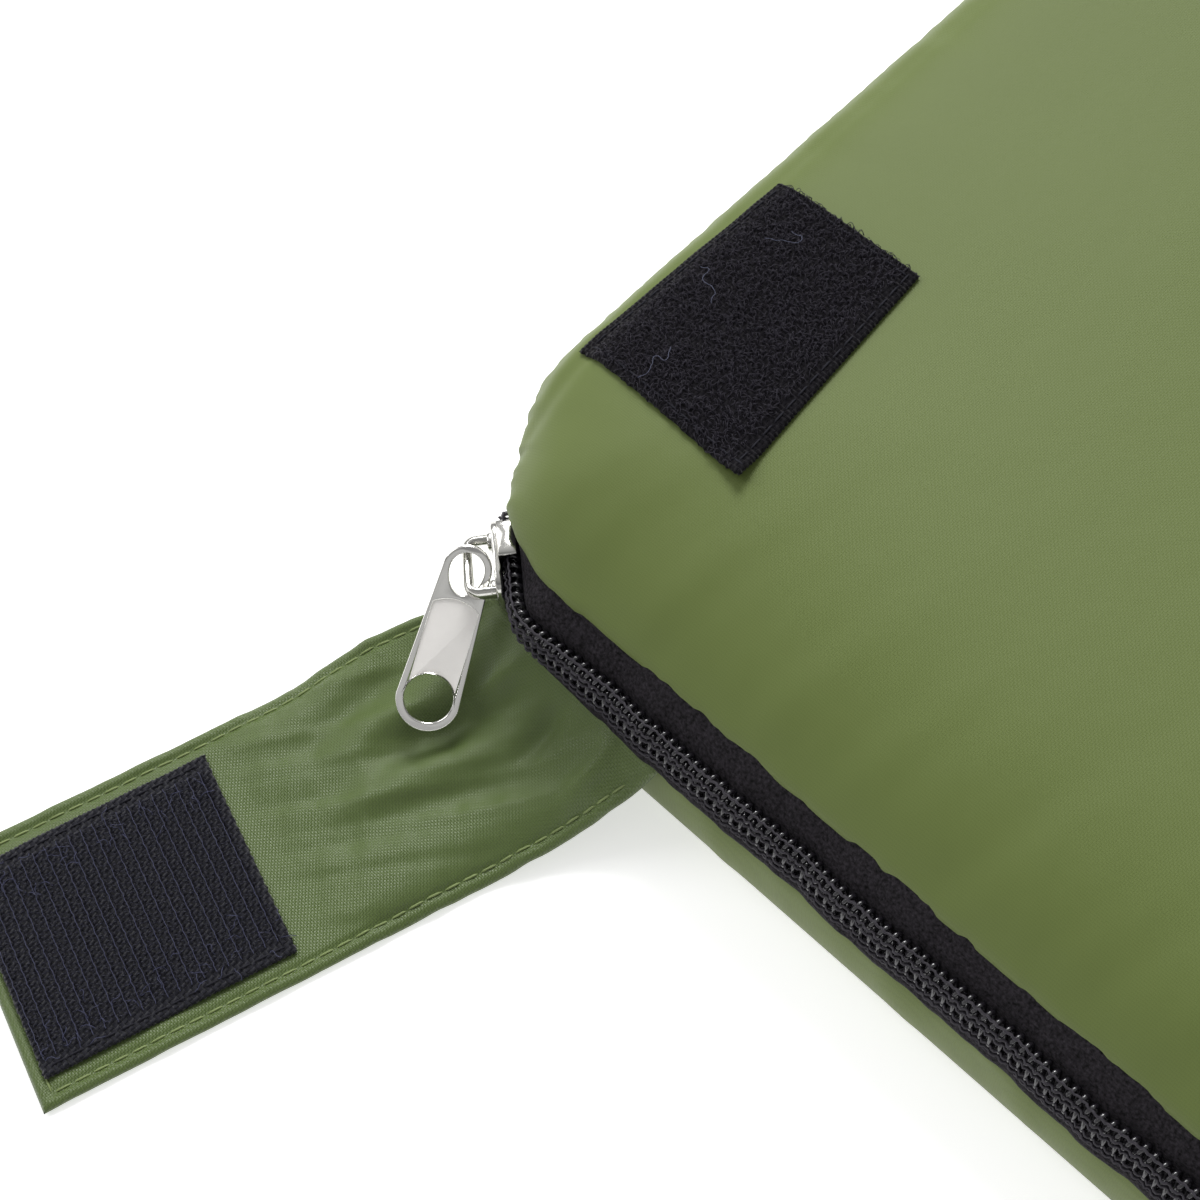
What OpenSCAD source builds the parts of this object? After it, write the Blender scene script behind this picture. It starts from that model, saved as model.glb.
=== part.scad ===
// Envelope bivy sack, padded, with an L-shaped coil zip and a hook-and-loop closure tab.
// Millimetres. +X runs across the sack from the zip side to the folded spine, +Y runs
// along it towards the mouth, +Z is up. The origin is the centre of the flat underside.

/* [Sack] */
// Width of the closed sack, from the zip side to the spine
sack_w = 752; // [600:1:950]
// Length of the closed sack, from the foot to the mouth
sack_l = 1900; // [1500:1:2200]
// Thickness of the lower quilt
lower_quilt_h = 16; // [14:1:16]
// Height of the empty space between the two quilts
inner_gap_h = 12; // [12:1:16]
// Thickness of the upper quilt
upper_quilt_h = 15; // [12:1:20]
// Thickness of each layer of cloth
cloth_t = 0.8; // [0.6:0.1:1]
// Radius of the foot corner that the zip goes round, seen from above
foot_corner_r = 45; // [30:1:80]
// Radius of the two corners on the spine side
spine_corner_r = 20; // [12:1:40]
// Distance between the quilting lines
quilt_pitch = 300; // [200:10:400]

/* [Zip] */
// Width of the closed row of coils
chain_w = 6; // [5.8:0.1:6]
// Thickness of the row of coils
chain_t = 2.8; // [2.4:0.1:2.8]
// Thickness of the zip tape
tape_t = 0.6; // [0.4:0.1:0.6]
// How far the row of coils lies in from the lower quilt's edge
chain_inset = 1; // [0.8:0.1:2]
// How far the upper quilt's edge lies in from the lower quilt's edge
upper_quilt_inset = 6; // [5:0.5:9]
// Gap between the foot end of the zip and the spine
zip_end_gap = 60; // [40:1:120]

/* [Slider] */
// Length of the slider's plates
slider_l = 12; // [11:0.5:12]
// Width of the slider's plates at the nose
slider_w = 9.2; // [9:0.1:9.2]
// Thickness of each plate of the slider
slider_plate_t = 1; // [0.8:0.1:1]
// Turn of the slider round the mouth corner, seen from above
slider_turn = 40; // [35:1:42]
// Height of the bail's bar above the slider's outer plate
bail_h = 4; // [3.9:0.1:4.3]
// Diameter of the bail's bar
bail_d = 1.5; // [1.2:0.1:1.5]

/* [Pull] */
// Length of the pull, over its two round ends
pull_l = 28.3; // [26:0.1:30]
// Width of the pull at its free end
pull_w = 9.5; // [8.5:0.1:10]
// Width of the pull at its ring end
pull_ring_w = 7.2; // [7:0.1:7.4]
// Thickness of the pull
pull_t = 1.5; // [1.2:0.1:1.5]
// Diameter of the finger hole
pull_hole_d = 7.2; // [6:0.1:7.4]
// How far the pull leans down from the slider
pull_droop = 38; // [36:1:44]
// How far the pull leans outwards from the slider
pull_lean = 24; // [18:1:26]

/* [Closure tab] */
// Width of the closure tab
tab_w = 43; // [38:1:46]
// Length of the tab's free end, past its gathered root
tab_free_l = 61; // [56:1:70]
// Turn of the tab towards the mouth, seen from above
tab_turn = 18; // [10:1:20]
// Length of the hook patch
hook_l = 39; // [34:1:42]
// Width of the hook patch
hook_w = 35; // [30:1:37]
// Length of the loop patch
loop_l = 42; // [36:1:46]
// Width of the loop patch
loop_w = 30; // [26:1:34]
// Thickness of the hook patch and of the loop patch
patch_t = 2; // [1.6:0.1:2]

/* [Hidden] */
$fn = 48;

far = 3000;
zip_x = -sack_w / 2;
mouth_y = sack_l / 2;
upper_z = lower_quilt_h + inner_gap_h;
top_z = upper_z + upper_quilt_h;
chain_z = lower_quilt_h + inner_gap_h / 2;

// The mouth corner is cut by two straight bevels, measured from the corner itself.
first_bevel = [6.6, -14];
second_bevel = [19.5, -4.6];
second_bevel_turn = 60;
mouth_corner = [zip_x, mouth_y];
corner_step = chain_inset * [-cos(slider_turn), sin(slider_turn)];

// The spine strip stands just outside the quilts, which stop short of it.
spine_inset = 4;
spine_strip_t = 1.6;
spine_overlap = 9;
spine_end_gap = 24;

seam_flange = 7;
coil_row_gap = 0.3;
zip_head_past_slider = 4.5;

slider_throat = chain_t / 2 + 0.45;
slider_half_t = slider_throat + slider_plate_t;
slider_tail_w = slider_w - 1.2;
flange_t = 0.8;
flange_gap = 0.5;
diamond_l = 2.6;
diamond_w = 1.8;
diamond_clear = 0.45;
bail_leg_y = 4.2;

pull_hole_l = 6.3;
pull_hole_w = 5;
pull_rim = 1.1;
pull_seat = 2.35;
pull_wall_end = 1.35;

tab_tip = [-85, 2];
tab_hook_from_tip = 2;
tab_back_t = 0.8;
tab_t = 2 * tab_back_t;
root_seam_y = [-51, -15];
root_seam_z = 12.5;
root_sag = [-11, 4.6];
root_gap = 0.3;
stitch_t = 0.4;
stitch_w = 0.6;
tab_stitch_inset = 2;
patch_stitch_inset = 1.5;
loop_centre = [51.4, -21.1];

// ---- outlines seen from above -------------------------------------------------

// The part of the plane on the inner side of a bevel, moved in by an inset.
module inside_bevel(point, turn, inset) {
  translate(mouth_corner + point)
    rotate(-turn)
      translate([inset, -far / 2])
        square([far, far]);
}

// Cuts a round corner of radius r; the corner's two edges run towards +X and +Y.
module corner_cut(r) {
  difference() {
    translate([-1, -1])
      square(r + 1);
    translate([r, r])
      circle(r = r, $fn = 64);
  }
}

// Outline of the sack, moved in from the zip and the foot, the mouth, and the spine.
module plan(zip_in, mouth_in = 0, spine_in = 0) {
  low = [zip_x + zip_in, -sack_l / 2 + zip_in];
  high = [sack_w / 2 - spine_in, mouth_y - mouth_in];
  intersection() {
    difference() {
      translate(low)
        square(high - low);
      translate(low)
        corner_cut(foot_corner_r - zip_in);
      translate([high.x, low.y])
        mirror([1, 0])
          corner_cut(spine_corner_r - zip_in);
      translate(high)
        rotate(180)
          corner_cut(spine_corner_r - zip_in);
    }
    inside_bevel(first_bevel, slider_turn, zip_in);
    inside_bevel(second_bevel, second_bevel_turn, zip_in);
  }
}

// A standing strip that follows the zip's L-shaped run, between two insets.
module zip_strip(in_a, in_b, z_a, z_b) {
  translate([0, 0, z_a])
    linear_extrude(z_b - z_a)
      difference() {
        plan(in_a);
        plan(in_b, -1, -far / 2);
        mouth_side_cut();
        translate([sack_w / 2 - zip_end_gap, -far])
          square([far, 2 * far]);
      }
}

// Everything past the head end of the zip, seen from above.
module mouth_side_cut() {
  translate(mouth_corner + first_bevel)
    rotate(-slider_turn)
      translate([-far / 2, slider_l / 2 + zip_head_past_slider])
        square([far, far]);
}

module quilt_lines(z, zip_in) {
  for (y = [-sack_l / 2 + quilt_pitch : quilt_pitch : mouth_y - quilt_pitch / 2])
    translate([zip_x + zip_in + 3, y - stitch_w / 2, z])
      cube([sack_w - zip_in - spine_inset - 6, stitch_w, stitch_t]);
}

// ---- the two quilts -----------------------------------------------------------

module bottom_shell() {
  color([0.42, 0.48, 0.29])
    difference() {
      linear_extrude(lower_quilt_h - cloth_t)
        plan(0, 0, spine_inset);
      translate([0, 0, cloth_t])
        linear_extrude(lower_quilt_h)
          plan(cloth_t, cloth_t, spine_inset + cloth_t);
    }
}

module bottom_fill() {
  color([0.93, 0.93, 0.91])
    translate([0, 0, cloth_t])
      linear_extrude(lower_quilt_h - 2 * cloth_t)
        plan(cloth_t, cloth_t, spine_inset + cloth_t);
}

module bottom_lining() {
  color([0.36, 0.42, 0.26])
    translate([0, 0, lower_quilt_h - cloth_t])
      linear_extrude(cloth_t)
        plan(0, 0, spine_inset);
}

module bottom_quilting() {
  color([0.50, 0.56, 0.36])
    quilt_lines(lower_quilt_h, upper_quilt_inset + seam_flange);
}

module top_shell() {
  color([0.46, 0.52, 0.32])
    difference() {
      translate([0, 0, upper_z + cloth_t])
        linear_extrude(upper_quilt_h - cloth_t)
          plan(upper_quilt_inset, 0, spine_inset);
      translate([0, 0, upper_z])
        linear_extrude(upper_quilt_h - cloth_t)
          plan(upper_quilt_inset + cloth_t, cloth_t, spine_inset + cloth_t);
    }
}

module top_fill() {
  color([0.93, 0.93, 0.91])
    translate([0, 0, upper_z + cloth_t])
      linear_extrude(upper_quilt_h - 2 * cloth_t)
        plan(upper_quilt_inset + cloth_t, cloth_t, spine_inset + cloth_t);
}

module top_lining() {
  color([0.36, 0.42, 0.26])
    translate([0, 0, upper_z])
      linear_extrude(cloth_t)
        plan(upper_quilt_inset, 0, spine_inset);
}

module top_quilting() {
  color([0.50, 0.56, 0.36])
    quilt_lines(top_z, upper_quilt_inset);
}

// The strip of shell cloth that joins the quilts along the folded side.
module spine_fold() {
  color([0.42, 0.48, 0.29])
    translate([
      sack_w / 2 - spine_inset,
      -sack_l / 2 + spine_end_gap,
      lower_quilt_h - spine_overlap
    ])
      cube([spine_strip_t, sack_l - 2 * spine_end_gap, inner_gap_h + 2 * spine_overlap]);
}

// ---- the zip ------------------------------------------------------------------

module lower_zip_tape() {
  color([0.17, 0.16, 0.17]) {
    zip_strip(
      chain_inset - tape_t / 2, chain_inset + tape_t / 2,
      lower_quilt_h, chain_z - chain_w / 2
    );
    zip_strip(chain_inset + tape_t / 2, seam_flange, lower_quilt_h, lower_quilt_h + tape_t);
  }
}

module upper_zip_tape() {
  color([0.17, 0.16, 0.17]) {
    zip_strip(
      chain_inset - tape_t / 2, chain_inset + tape_t / 2,
      chain_z + chain_w / 2, upper_z
    );
    zip_strip(
      chain_inset + tape_t / 2, upper_quilt_inset + seam_flange,
      upper_z - tape_t, upper_z
    );
  }
}

// One row of coils, with room round the slider's diamond where the rows part.
module coil_row(z_a, z_b) {
  difference() {
    zip_strip(chain_inset - chain_t / 2, chain_inset + chain_t / 2, z_a, z_b);
    at_slider()
      translate([
        -slider_half_t,
        slider_l / 2 - diamond_l - diamond_clear,
        -diamond_w / 2 - diamond_clear
      ])
        cube([2 * slider_half_t, diamond_l + 2 * diamond_clear, diamond_w + 2 * diamond_clear]);
  }
}

module lower_coil() {
  color([0.12, 0.11, 0.12])
    coil_row(chain_z - chain_w / 2, chain_z - coil_row_gap / 2);
}

module upper_coil() {
  color([0.12, 0.11, 0.12])
    coil_row(chain_z + coil_row_gap / 2, chain_z + chain_w / 2);
}

// The metal stop that closes the foot end of the zip.
module zip_end_stop() {
  color([0.75, 0.75, 0.74])
    translate([
      sack_w / 2 - zip_end_gap,
      -sack_l / 2 + chain_inset - chain_t / 2 - 0.3,
      lower_quilt_h
    ])
      cube([3, chain_t + 0.6, chain_z + chain_w / 2 - lower_quilt_h + 0.5]);
}

// ---- the slider: local +Y runs along the zip to the mouth, -X points outwards -----

module at_slider() {
  translate([
    mouth_corner.x + first_bevel.x - corner_step.x,
    mouth_corner.y + first_bevel.y - corner_step.y,
    chain_z
  ])
    rotate([0, 0, -slider_turn])
      children();
}

// One plate with its two turned edges; the other plate is its mirror image.
module slider_half() {
  translate([-slider_half_t, 0, 0])
    rotate([0, 90, 0])
      linear_extrude(slider_plate_t)
        polygon([
          [-slider_tail_w / 2, -slider_l / 2 + 1],
          [-slider_tail_w / 2 + 1, -slider_l / 2],
          [slider_tail_w / 2 - 1, -slider_l / 2],
          [slider_tail_w / 2, -slider_l / 2 + 1],
          [slider_tail_w / 2, 1],
          [slider_w / 2, 3],
          [slider_w / 2 - 1.6, slider_l / 2 - 1],
          [1, slider_l / 2],
          [-1, slider_l / 2],
          [-slider_w / 2 + 1.6, slider_l / 2 - 1],
          [-slider_w / 2, 3],
          [-slider_tail_w / 2, 1]
        ]);
  for (side = [-1, 1])
    translate([
      -slider_throat - 0.1,
      -slider_l / 2 + 1,
      side * (slider_tail_w - flange_t) / 2 - flange_t / 2
    ])
      cube([slider_throat + 0.1 - flange_gap, slider_l / 2, flange_t]);
}

module slider_body() {
  color([0.76, 0.76, 0.75])
    at_slider() {
      slider_half();
      mirror([1, 0, 0])
        slider_half();
      translate([-slider_throat - 0.1, slider_l / 2 - diamond_l, -diamond_w / 2])
        cube([2 * slider_throat + 0.2, diamond_l, diamond_w]);
    }
}

// The bail: a bar along the slider on two legs.
module slider_bail() {
  color([0.80, 0.80, 0.79])
    at_slider()
      translate([-slider_half_t, 0, 0]) {
        translate([-bail_h, 0, 0])
          rotate([90, 0, 0])
            cylinder(d = bail_d, h = 2 * bail_leg_y + bail_d, center = true);
        for (side = [-1, 1])
          translate([-bail_h, side * bail_leg_y - bail_d / 2, -bail_d / 2])
            cube([bail_h, bail_d, bail_d]);
      }
}

// The pull: local -Y runs down its length from the bar that it hangs on.
module pull_tab() {
  ring_r = pull_ring_w / 2;
  end_r = pull_w / 2;
  head_y = pull_seat + pull_rim;
  hole_y = pull_seat - pull_hole_l / 2;
  hole_shift = (pull_hole_l - pull_hole_w) / 2;
  end_y = head_y - pull_l + end_r;
  color([0.82, 0.82, 0.80])
    at_slider()
      translate([-slider_half_t - bail_h, 0, 0])
        rotate([pull_droop, 0, 0])
          rotate([0, 0, -pull_lean])
            difference() {
              translate([0, 0, -pull_t / 2])
                linear_extrude(pull_t)
                  hull() {
                    translate([0, head_y - ring_r])
                      circle(r = ring_r, $fn = 32);
                    translate([0, end_y])
                      circle(r = end_r, $fn = 32);
                  }
              for (shift = [-hole_shift, hole_shift])
                translate([0, hole_y + shift, -pull_t])
                  cylinder(d = pull_hole_w, h = 2 * pull_t);
              translate([-pull_hole_w / 2, hole_y - hole_shift, -pull_t])
                cube([pull_hole_w, 2 * hole_shift, 2 * pull_t]);
              translate([0, end_y - end_r + pull_wall_end + pull_hole_d / 2, -pull_t])
                cylinder(d = pull_hole_d, h = 2 * pull_t);
            }
}

// ---- the closure tab: local -X runs out to its tip ------------------------------

module at_tab() {
  translate([mouth_corner.x + tab_tip.x, mouth_corner.y + tab_tip.y, 0])
    rotate([0, 0, -tab_turn])
      children();
}

// A thread line round a patch, lying on its face.
module patch_thread(length, width) {
  inset = patch_stitch_inset;
  linear_extrude(stitch_t)
    difference() {
      square([length - 2 * inset, width - 2 * inset], center = true);
      square([length - 2 * (inset + stitch_w), width - 2 * (inset + stitch_w)], center = true);
    }
}

// The gathered root: it leaves the seam under the zip and comes down to the ground.
module tab_root() {
  seam = [mouth_corner.x, mouth_corner.y];
  color([0.33, 0.40, 0.23]) {
    hull() {
      root_seam_bar(seam);
      root_sag_bar(seam);
    }
    hull() {
      root_sag_bar(seam);
      at_tab()
        translate([tab_free_l + root_gap, -tab_w / 2 + 1, 0])
          cube([1, tab_w - 2, tab_t]);
    }
  }
}

module root_seam_bar(seam) {
  translate([seam.x - 0.4, seam.y + root_seam_y[0], root_seam_z])
    cube([0.4, root_seam_y[1] - root_seam_y[0], tab_t]);
}

module root_sag_bar(seam) {
  translate([seam.x + root_sag.x, seam.y + root_seam_y[0] + 3, root_sag[1] - tab_t])
    cube([0.4, root_seam_y[1] - root_seam_y[0] + 2, tab_t]);
}

module tab_back() {
  color([0.31, 0.38, 0.22])
    at_tab()
      translate([0, -tab_w / 2, 0])
        cube([tab_free_l, tab_w, tab_back_t]);
}

module tab_face() {
  color([0.35, 0.42, 0.25])
    at_tab()
      translate([0, -tab_w / 2, tab_back_t])
        cube([tab_free_l, tab_w, tab_back_t]);
}

// Two long rows of topstitching beside the edges, and one across the tip.
module tab_topstitch() {
  color([0.55, 0.61, 0.39])
    at_tab()
      translate([0, 0, tab_t]) {
        for (side = [-1, 1])
          translate([1, side * (tab_w / 2 - tab_stitch_inset) - stitch_w / 2, 0])
            cube([tab_free_l - 2, stitch_w, stitch_t]);
        translate([1 - stitch_w, -tab_w / 2 + tab_stitch_inset + stitch_w, 0])
          cube([stitch_w, tab_w - 2 * tab_stitch_inset - 2 * stitch_w, stitch_t]);
      }
}

module hook_patch() {
  color([0.10, 0.10, 0.16])
    at_tab()
      translate([tab_hook_from_tip, -hook_w / 2, tab_t])
        cube([hook_l, hook_w, patch_t]);
}

module hook_stitching() {
  color([0.16, 0.16, 0.24])
    at_tab()
      translate([tab_hook_from_tip + hook_l / 2, 0, tab_t + patch_t])
        patch_thread(hook_l, hook_w);
}

module at_loop_patch() {
  translate([mouth_corner.x + loop_centre.x, mouth_corner.y + loop_centre.y, top_z])
    children();
}

module loop_patch() {
  color([0.10, 0.09, 0.11])
    at_loop_patch()
      translate([-loop_l / 2, -loop_w / 2, 0])
        cube([loop_l, loop_w, patch_t]);
}

module loop_stitching() {
  color([0.16, 0.15, 0.18])
    at_loop_patch()
      translate([0, 0, patch_t])
        patch_thread(loop_l, loop_w);
}

bottom_shell();
bottom_fill();
bottom_lining();
bottom_quilting();
top_shell();
top_fill();
top_lining();
top_quilting();
spine_fold();
lower_zip_tape();
upper_zip_tape();
lower_coil();
upper_coil();
zip_end_stop();
slider_body();
slider_bail();
pull_tab();
tab_root();
tab_back();
tab_face();
tab_topstitch();
hook_patch();
hook_stitching();
loop_patch();
loop_stitching();
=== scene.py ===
# %% [markdown]
# # A padded bivy sack
# The real object is two flat quilts joined by a fold along one side and by a long coil
# zip along the other side and the foot. A small cloth tab with hook tape closes over the
# head of the zip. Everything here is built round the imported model, which already says
# how big each piece is and where it lies.

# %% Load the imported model
import math
import random

import bmesh
import bpy
import numpy as np
from mathutils import Matrix, Vector
from mathutils.geometry import interpolate_bezier

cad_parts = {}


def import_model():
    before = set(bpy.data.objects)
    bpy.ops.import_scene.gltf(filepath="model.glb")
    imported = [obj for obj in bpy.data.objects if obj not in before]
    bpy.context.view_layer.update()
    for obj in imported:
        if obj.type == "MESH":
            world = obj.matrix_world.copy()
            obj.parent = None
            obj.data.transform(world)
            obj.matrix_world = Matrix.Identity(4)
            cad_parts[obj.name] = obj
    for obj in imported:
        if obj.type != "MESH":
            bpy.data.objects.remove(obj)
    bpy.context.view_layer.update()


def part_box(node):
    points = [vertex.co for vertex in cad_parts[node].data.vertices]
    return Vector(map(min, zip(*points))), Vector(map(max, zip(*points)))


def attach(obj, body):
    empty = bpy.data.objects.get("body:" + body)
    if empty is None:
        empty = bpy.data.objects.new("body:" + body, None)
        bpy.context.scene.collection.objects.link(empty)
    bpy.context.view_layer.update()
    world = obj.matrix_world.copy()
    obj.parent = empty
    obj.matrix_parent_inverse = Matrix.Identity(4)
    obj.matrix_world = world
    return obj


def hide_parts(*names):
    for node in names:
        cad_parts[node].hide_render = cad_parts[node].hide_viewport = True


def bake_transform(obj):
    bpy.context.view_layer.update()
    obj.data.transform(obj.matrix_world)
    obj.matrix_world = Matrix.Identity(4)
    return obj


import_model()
random.seed(7)


# %% [markdown]
# ## Where things are
# Sewing is measured from an edge, so the script measures from the corner where the zip
# line meets the mouth line: x runs across to the spine, y along the sack (the foot is at
# negative y) and z up, all in millimetres. One function turns that into the scene's
# metres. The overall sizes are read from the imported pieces.

# %% The corner, and the sizes read from the model
MM = 0.001
lower_low, lower_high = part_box("bottom_shell")
upper_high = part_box("top_shell")[1]
coil_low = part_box("lower_coil")[0]
COIL_STAND_OFF = 0.4
corner = Vector((coil_low.x + (1 + COIL_STAND_OFF) * MM, lower_high.y, 0))
width = (lower_high.x - corner.x) / MM
length = (lower_high.y - lower_low.y) / MM
upper_top = upper_high.z / MM
lower_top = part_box("bottom_lining")[1].z / MM
lining_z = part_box("top_lining")[0].z / MM
chain_z = (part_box("lower_coil")[1].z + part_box("upper_coil")[0].z) / 2 / MM


def world(x, y, z):
    """Points in millimetres from the corner, as rows of scene metres."""
    x, y, z = np.broadcast_arrays(x, y, z)
    return np.column_stack([np.ravel(x), np.ravel(y), np.ravel(z)]) * MM + np.array(corner)


print(f"sack {width:.0f} x {length:.0f} mm, {upper_top:.0f} mm thick, zip at {chain_z:.0f} mm")


# %% [markdown]
# ## Camera
# The camera comes first, because it decides how much detail each piece needs. It stands
# close above the mouth corner and looks down steeply across it, a little rolled. A
# direction and a distance from a target say this better than a bare location would.

# %% The camera
VIEW_AZIMUTH = -37.3
VIEW_ELEVATION = 62.0
VIEW_ROLL = -9.1
VIEW_DISTANCE = 327.4
VIEW_TARGET = (11.0, -27.1, 20.0)
LENS = 68.6
azimuth, elevation, roll = (math.radians(a) for a in (VIEW_AZIMUTH, VIEW_ELEVATION, VIEW_ROLL))
back = Vector((
    math.sin(azimuth) * math.cos(elevation),
    -math.cos(azimuth) * math.cos(elevation),
    math.sin(elevation),
))
level = Vector((math.cos(azimuth), math.sin(azimuth), 0))
upward = back.cross(level)
right = level * math.cos(roll) + upward * math.sin(roll)
top = upward * math.cos(roll) - level * math.sin(roll)
camera = bpy.data.objects.new("camera", bpy.data.cameras.new("camera"))
bpy.context.scene.collection.objects.link(camera)
camera.data.lens = LENS
camera.data.clip_start = 0.01
target = Vector(world(*VIEW_TARGET)[0])
turn = Matrix((right, top, back)).transposed().to_4x4()
camera.matrix_world = Matrix.Translation(target + back * VIEW_DISTANCE * MM) @ turn
bpy.context.scene.camera = camera
print("camera at", [round(c, 3) for c in camera.location])


# %% [markdown]
# ## Light and floor
# The sack lies on a white sweep under big soft lamps, so the shadows are pale and wide.
# The sweep glows a little, as one does that is lit from below.
# A plain white sky would leave the metal parts without any contrast, so the sky has a
# dark band between its bright top and its paler far side.

# %% Floor, sky and lamps
FLOOR_SIZE = 12
PAPER = {
    "Base Color": (0.93, 0.93, 0.93, 1), "Roughness": 0.9, "Specular IOR Level": 0.1,
    "Emission Color": (1, 1, 1, 1), "Emission Strength": 0.55,
}
SKY_STRENGTH = 0.59
BRIGHT_SIDE = (0.45, 0.35, 0.82)
SKY_SHADES = ((0.0, 0.75), (0.15, 0.95), (0.36, 0.32), (0.55, 0.54), (0.95, 1.0))
LAMPS = {
    "key": {"offset": (1000, 800, 1500), "size": 0.9, "power": 30},
    "fill": {"offset": (-300, 900, 900), "size": 0.8, "power": 5},
}


def add_nodes(tree, kind, values=None, **settings):
    """Adds a shader node; values fill its inputs, by name or number, from sockets or plain data."""
    made = tree.nodes.new(kind)
    for name, value in settings.items():
        setattr(made, name, value)
    for key, value in (values or {}).items():
        if isinstance(value, bpy.types.NodeSocket):
            tree.links.new(value, made.inputs[key])
        else:
            made.inputs[key].default_value = value
    return made


def make_sky():
    sky = bpy.data.worlds.new("studio_sky")
    sky.use_nodes = True
    tree = sky.node_tree
    tree.nodes.clear()
    direction = add_nodes(tree, "ShaderNodeTexCoord").outputs["Generated"]
    toward = add_nodes(
        tree, "ShaderNodeVectorMath", {0: direction, 1: BRIGHT_SIDE}, operation="DOT_PRODUCT"
    ).outputs["Value"]
    ramp = add_nodes(tree, "ShaderNodeValToRGB", {0: toward})
    stops = ramp.color_ramp.elements
    stops.remove(stops[1])
    for place, shade in SKY_SHADES[1:]:
        stops.new(place)
    for stop, (place, shade) in zip(stops, SKY_SHADES):
        stop.position = place
        stop.color = (shade, shade, shade, 1)
    glow = add_nodes(
        tree, "ShaderNodeBackground", {"Color": ramp.outputs[0], "Strength": SKY_STRENGTH}
    )
    out = add_nodes(tree, "ShaderNodeOutputWorld")
    tree.links.new(glow.outputs[0], out.inputs[0])
    bpy.context.scene.world = sky


def make_lamp(name, offset, size, power):
    lamp = bpy.data.objects.new(name, bpy.data.lights.new(name, "AREA"))
    lamp.data.shape = "DISK"
    lamp.data.size = size
    lamp.data.energy = power
    lamp.location = Vector(world(*offset)[0])
    aim = Vector(world(0, 0, 0)[0]) - lamp.location
    lamp.rotation_mode = "QUATERNION"
    lamp.rotation_quaternion = aim.to_track_quat("-Z", "Y")
    bpy.context.scene.collection.objects.link(lamp)


def make_floor():
    bm = bmesh.new()
    bmesh.ops.create_grid(bm, x_segments=2, y_segments=2, size=FLOOR_SIZE / 2)
    mesh = bpy.data.meshes.new("floor")
    bm.to_mesh(mesh)
    bm.free()
    floor = bpy.data.objects.new("floor", mesh)
    bpy.context.scene.collection.objects.link(floor)
    paper = bpy.data.materials.new("white_paper")
    paper.use_nodes = True
    shader = paper.node_tree.nodes["Principled BSDF"]
    for socket, value in PAPER.items():
        shader.inputs[socket].default_value = value
    mesh.materials.append(paper)


make_sky()
make_floor()
for lamp_name, lamp_facts in LAMPS.items():
    make_lamp(lamp_name, **lamp_facts)
bpy.context.scene.view_settings.view_transform = "Standard"
bpy.context.scene.view_settings.look = "None"
print(len(LAMPS), "lamps and a sky")


# %% [markdown]
# ## Finishes
# Four effects come back in several materials: a plain weave, the fine wrinkling of thin
# cloth, slow changes of tone, and the faint scratches of plated metal. Each is a node
# group with named sockets, built once. The shader itself stays in each material, so a
# plain number on it stays a plain number.

# %% Helpers for node groups and materials
def linear(red, green, blue):
    """A colour given from 0 to 255, as the linear values that a shader wants."""
    steps = [c / 255 for c in (red, green, blue)]
    return [c / 12.92 if c <= 0.04045 else ((c + 0.055) / 1.055) ** 2.4 for c in steps] + [1.0]


def new_group(name, inputs, outputs):
    group = bpy.data.node_groups.new(name, "ShaderNodeTree")
    for side, sockets in (("INPUT", inputs), ("OUTPUT", outputs)):
        for label, kind, value in sockets:
            socket = group.interface.new_socket(label, in_out=side, socket_type=kind)
            if value is not None:
                socket.default_value = value
    start = add_nodes(group, "NodeGroupInput")
    end = add_nodes(group, "NodeGroupOutput")
    return group, start.outputs, end.inputs


def compute(tree, operation, first, second=0.0, third=0.0):
    """One Math node."""
    values = {0: first, 1: second, 2: third}
    return add_nodes(tree, "ShaderNodeMath", values, operation=operation).outputs[0]


def use_group(tree, group, values):
    return add_nodes(tree, "ShaderNodeGroup", values, node_tree=group).outputs


def bump(tree, height, depth, **more):
    """A bump from a height; depth is in millimetres."""
    values = {"Height": height, "Distance": depth * MM, "Strength": 1.0, **more}
    return add_nodes(tree, "ShaderNodeBump", values).outputs[0]


def noise(tree, size, detail, place=None, **more):
    """A cloudy pattern in object space; size is in metres."""
    if place is None:
        place = add_nodes(tree, "ShaderNodeTexCoord").outputs["Object"]
    fineness = compute(tree, "DIVIDE", 1.0, size)
    values = {"Vector": place, "Scale": fineness, "Detail": detail, **more}
    return add_nodes(tree, "ShaderNodeTexNoise", values).outputs[0]


FLOAT, VECTOR, COLOR = "NodeSocketFloat", "NodeSocketVector", "NodeSocketColor"

# %% The four node groups
def make_weave():
    """Threads that pass over and under each other, as a height from 0 to 1."""
    group, given, result = new_group(
        "plain_weave",
        [("Vector", VECTOR, None), ("Thread", FLOAT, 0.00035)],
        [("Height", FLOAT, None)],
    )
    count = compute(group, "DIVIDE", 1.0, given["Thread"])
    scaled = add_nodes(group, "ShaderNodeVectorMath", {0: given["Vector"]}, operation="SCALE")
    group.links.new(count, scaled.inputs["Scale"])
    part = add_nodes(group, "ShaderNodeSeparateXYZ", {0: scaled.outputs[0]}).outputs
    waves = [compute(group, "SINE", compute(group, "MULTIPLY", part[i], math.pi)) for i in (0, 1)]
    rounds = [compute(group, "ABSOLUTE", wave) for wave in waves]
    crossing = compute(group, "MULTIPLY", waves[0], waves[1])
    over = compute(group, "GREATER_THAN", crossing, 0.0)
    under = compute(group, "SUBTRACT", 1.0, over)
    warp = compute(group, "MULTIPLY", rounds[0], over)
    height = compute(group, "MULTIPLY_ADD", rounds[1], under, warp)
    group.links.new(height, result["Height"])
    return group


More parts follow.
